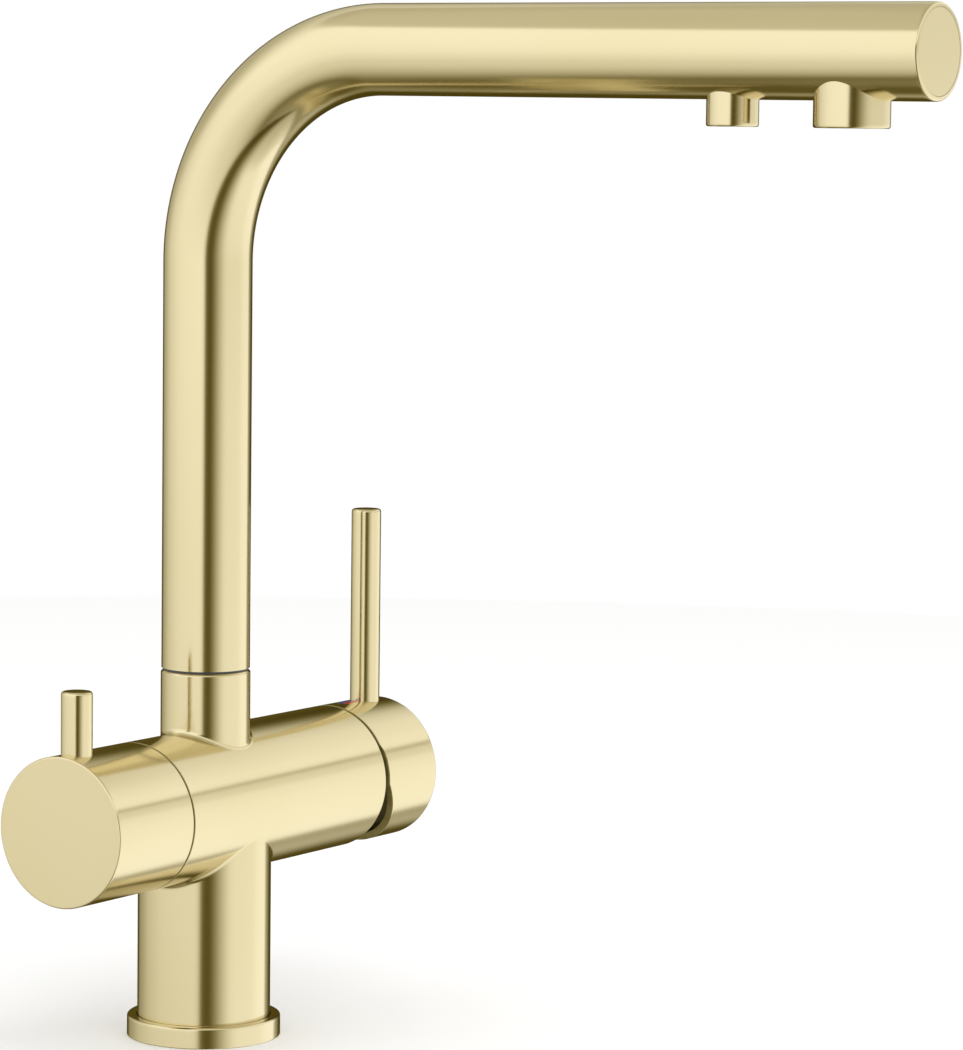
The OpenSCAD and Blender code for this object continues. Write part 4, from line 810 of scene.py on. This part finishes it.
# The flag behind the set, which gives every outline its thin dark edge
behind = add(tree, "ShaderNodeMapRange", {"interpolation_type": "SMOOTHSTEP"},
             {"From Min": DOME_FLAG[0] * DOME_R, "From Max": DOME_FLAG[1] * DOME_R,
              "To Min": 1, "To Max": DOME_FLAG_LEVEL},
             {"Value": flat.outputs["Y"]}).outputs["Result"]
brightness = add(tree, "ShaderNodeMath", {"operation": "MULTIPLY"}, links={0: lit, 1: behind}).outputs[0]
tint = add(tree, "ShaderNodeValToRGB", links={"Fac": brightness}, stops=DOME_TINTS)
glow = add(tree, "ShaderNodeEmission", {}, {"Strength": DOME_STRENGTH}, {"Color": tint.outputs["Color"]})
add(tree, "ShaderNodeOutputMaterial", links={"Surface": glow.outputs["Emission"]})
dome.data.materials.append(dome_light)
for ray in ("camera", "diffuse", "transmission", "volume_scatter", "shadow"):
    setattr(dome, "visible_" + ray, False)

world = bpy.data.worlds.new("pale_studio")
world.use_nodes = True
world.node_tree.nodes["Background"].inputs["Color"].default_value = linear("ffffff")
world.node_tree.nodes["Background"].inputs["Strength"].default_value = 1
bpy.context.scene.world = world

# A large soft lamp high at the front left, aimed at the middle of the tap
LAMP_AT, LAMP_AIM = Vector((-0.3, -0.7, 1.2)), Vector((0, 0, mm(100)))
LAMP_SIZE, LAMP_WATTS = 0.8, 3
lamp = bpy.data.lights.new("soft_box", "AREA")
lamp.shape, lamp.size, lamp.energy = "DISK", LAMP_SIZE, LAMP_WATTS
soft_box = bpy.data.objects.new("soft_box", lamp)
soft_box.location = LAMP_AT
soft_box.rotation_euler = (LAMP_AIM - LAMP_AT).to_track_quat("-Z", "Y").to_euler()
soft_box.visible_glossy = False
bpy.context.scene.collection.objects.link(soft_box)

# The camera was found from the photograph: how far round, how high, its roll, its focal length in pixels
# of the 963 x 1050 image, where the flange's centre on the worktop falls in it, and what one pixel
# measures there.
IMAGE_W, IMAGE_H = 963, 1050
CAMERA_EL = math.radians(5.62923)
CAMERA_ROLL = math.radians(0.69939)
FOCAL_PX = 4273.265
FLANGE_PX, FLANGE_PY = 203.52302, 1032.69189
PX_SIZE = mm(0.3420922158)
SENSOR = 36

back = Vector((math.sin(CAMERA_AZ) * math.cos(CAMERA_EL), -math.cos(CAMERA_AZ) * math.cos(CAMERA_EL),
               math.sin(CAMERA_EL)))
level = Vector((math.cos(CAMERA_AZ), math.sin(CAMERA_AZ), 0))
upright = back.cross(level)
right = level * math.cos(CAMERA_ROLL) + upright * math.sin(CAMERA_ROLL)
up = upright * math.cos(CAMERA_ROLL) - level * math.sin(CAMERA_ROLL)
lens = bpy.data.cameras.new("camera")
lens.sensor_width, lens.lens = SENSOR, FOCAL_PX * SENSOR / IMAGE_H
lens.clip_start, lens.clip_end = 0.05, 100
camera = bpy.data.objects.new("camera", lens)
eye = back * FOCAL_PX - right * (FLANGE_PX - IMAGE_W / 2) + up * (FLANGE_PY - IMAGE_H / 2)
camera.location = eye * PX_SIZE
camera.rotation_mode = "QUATERNION"
camera.rotation_quaternion = Matrix((right, up, back)).transposed().to_quaternion()
bpy.context.scene.collection.objects.link(camera)
bpy.context.scene.camera = camera
bpy.context.scene.view_settings.view_transform = "Standard"
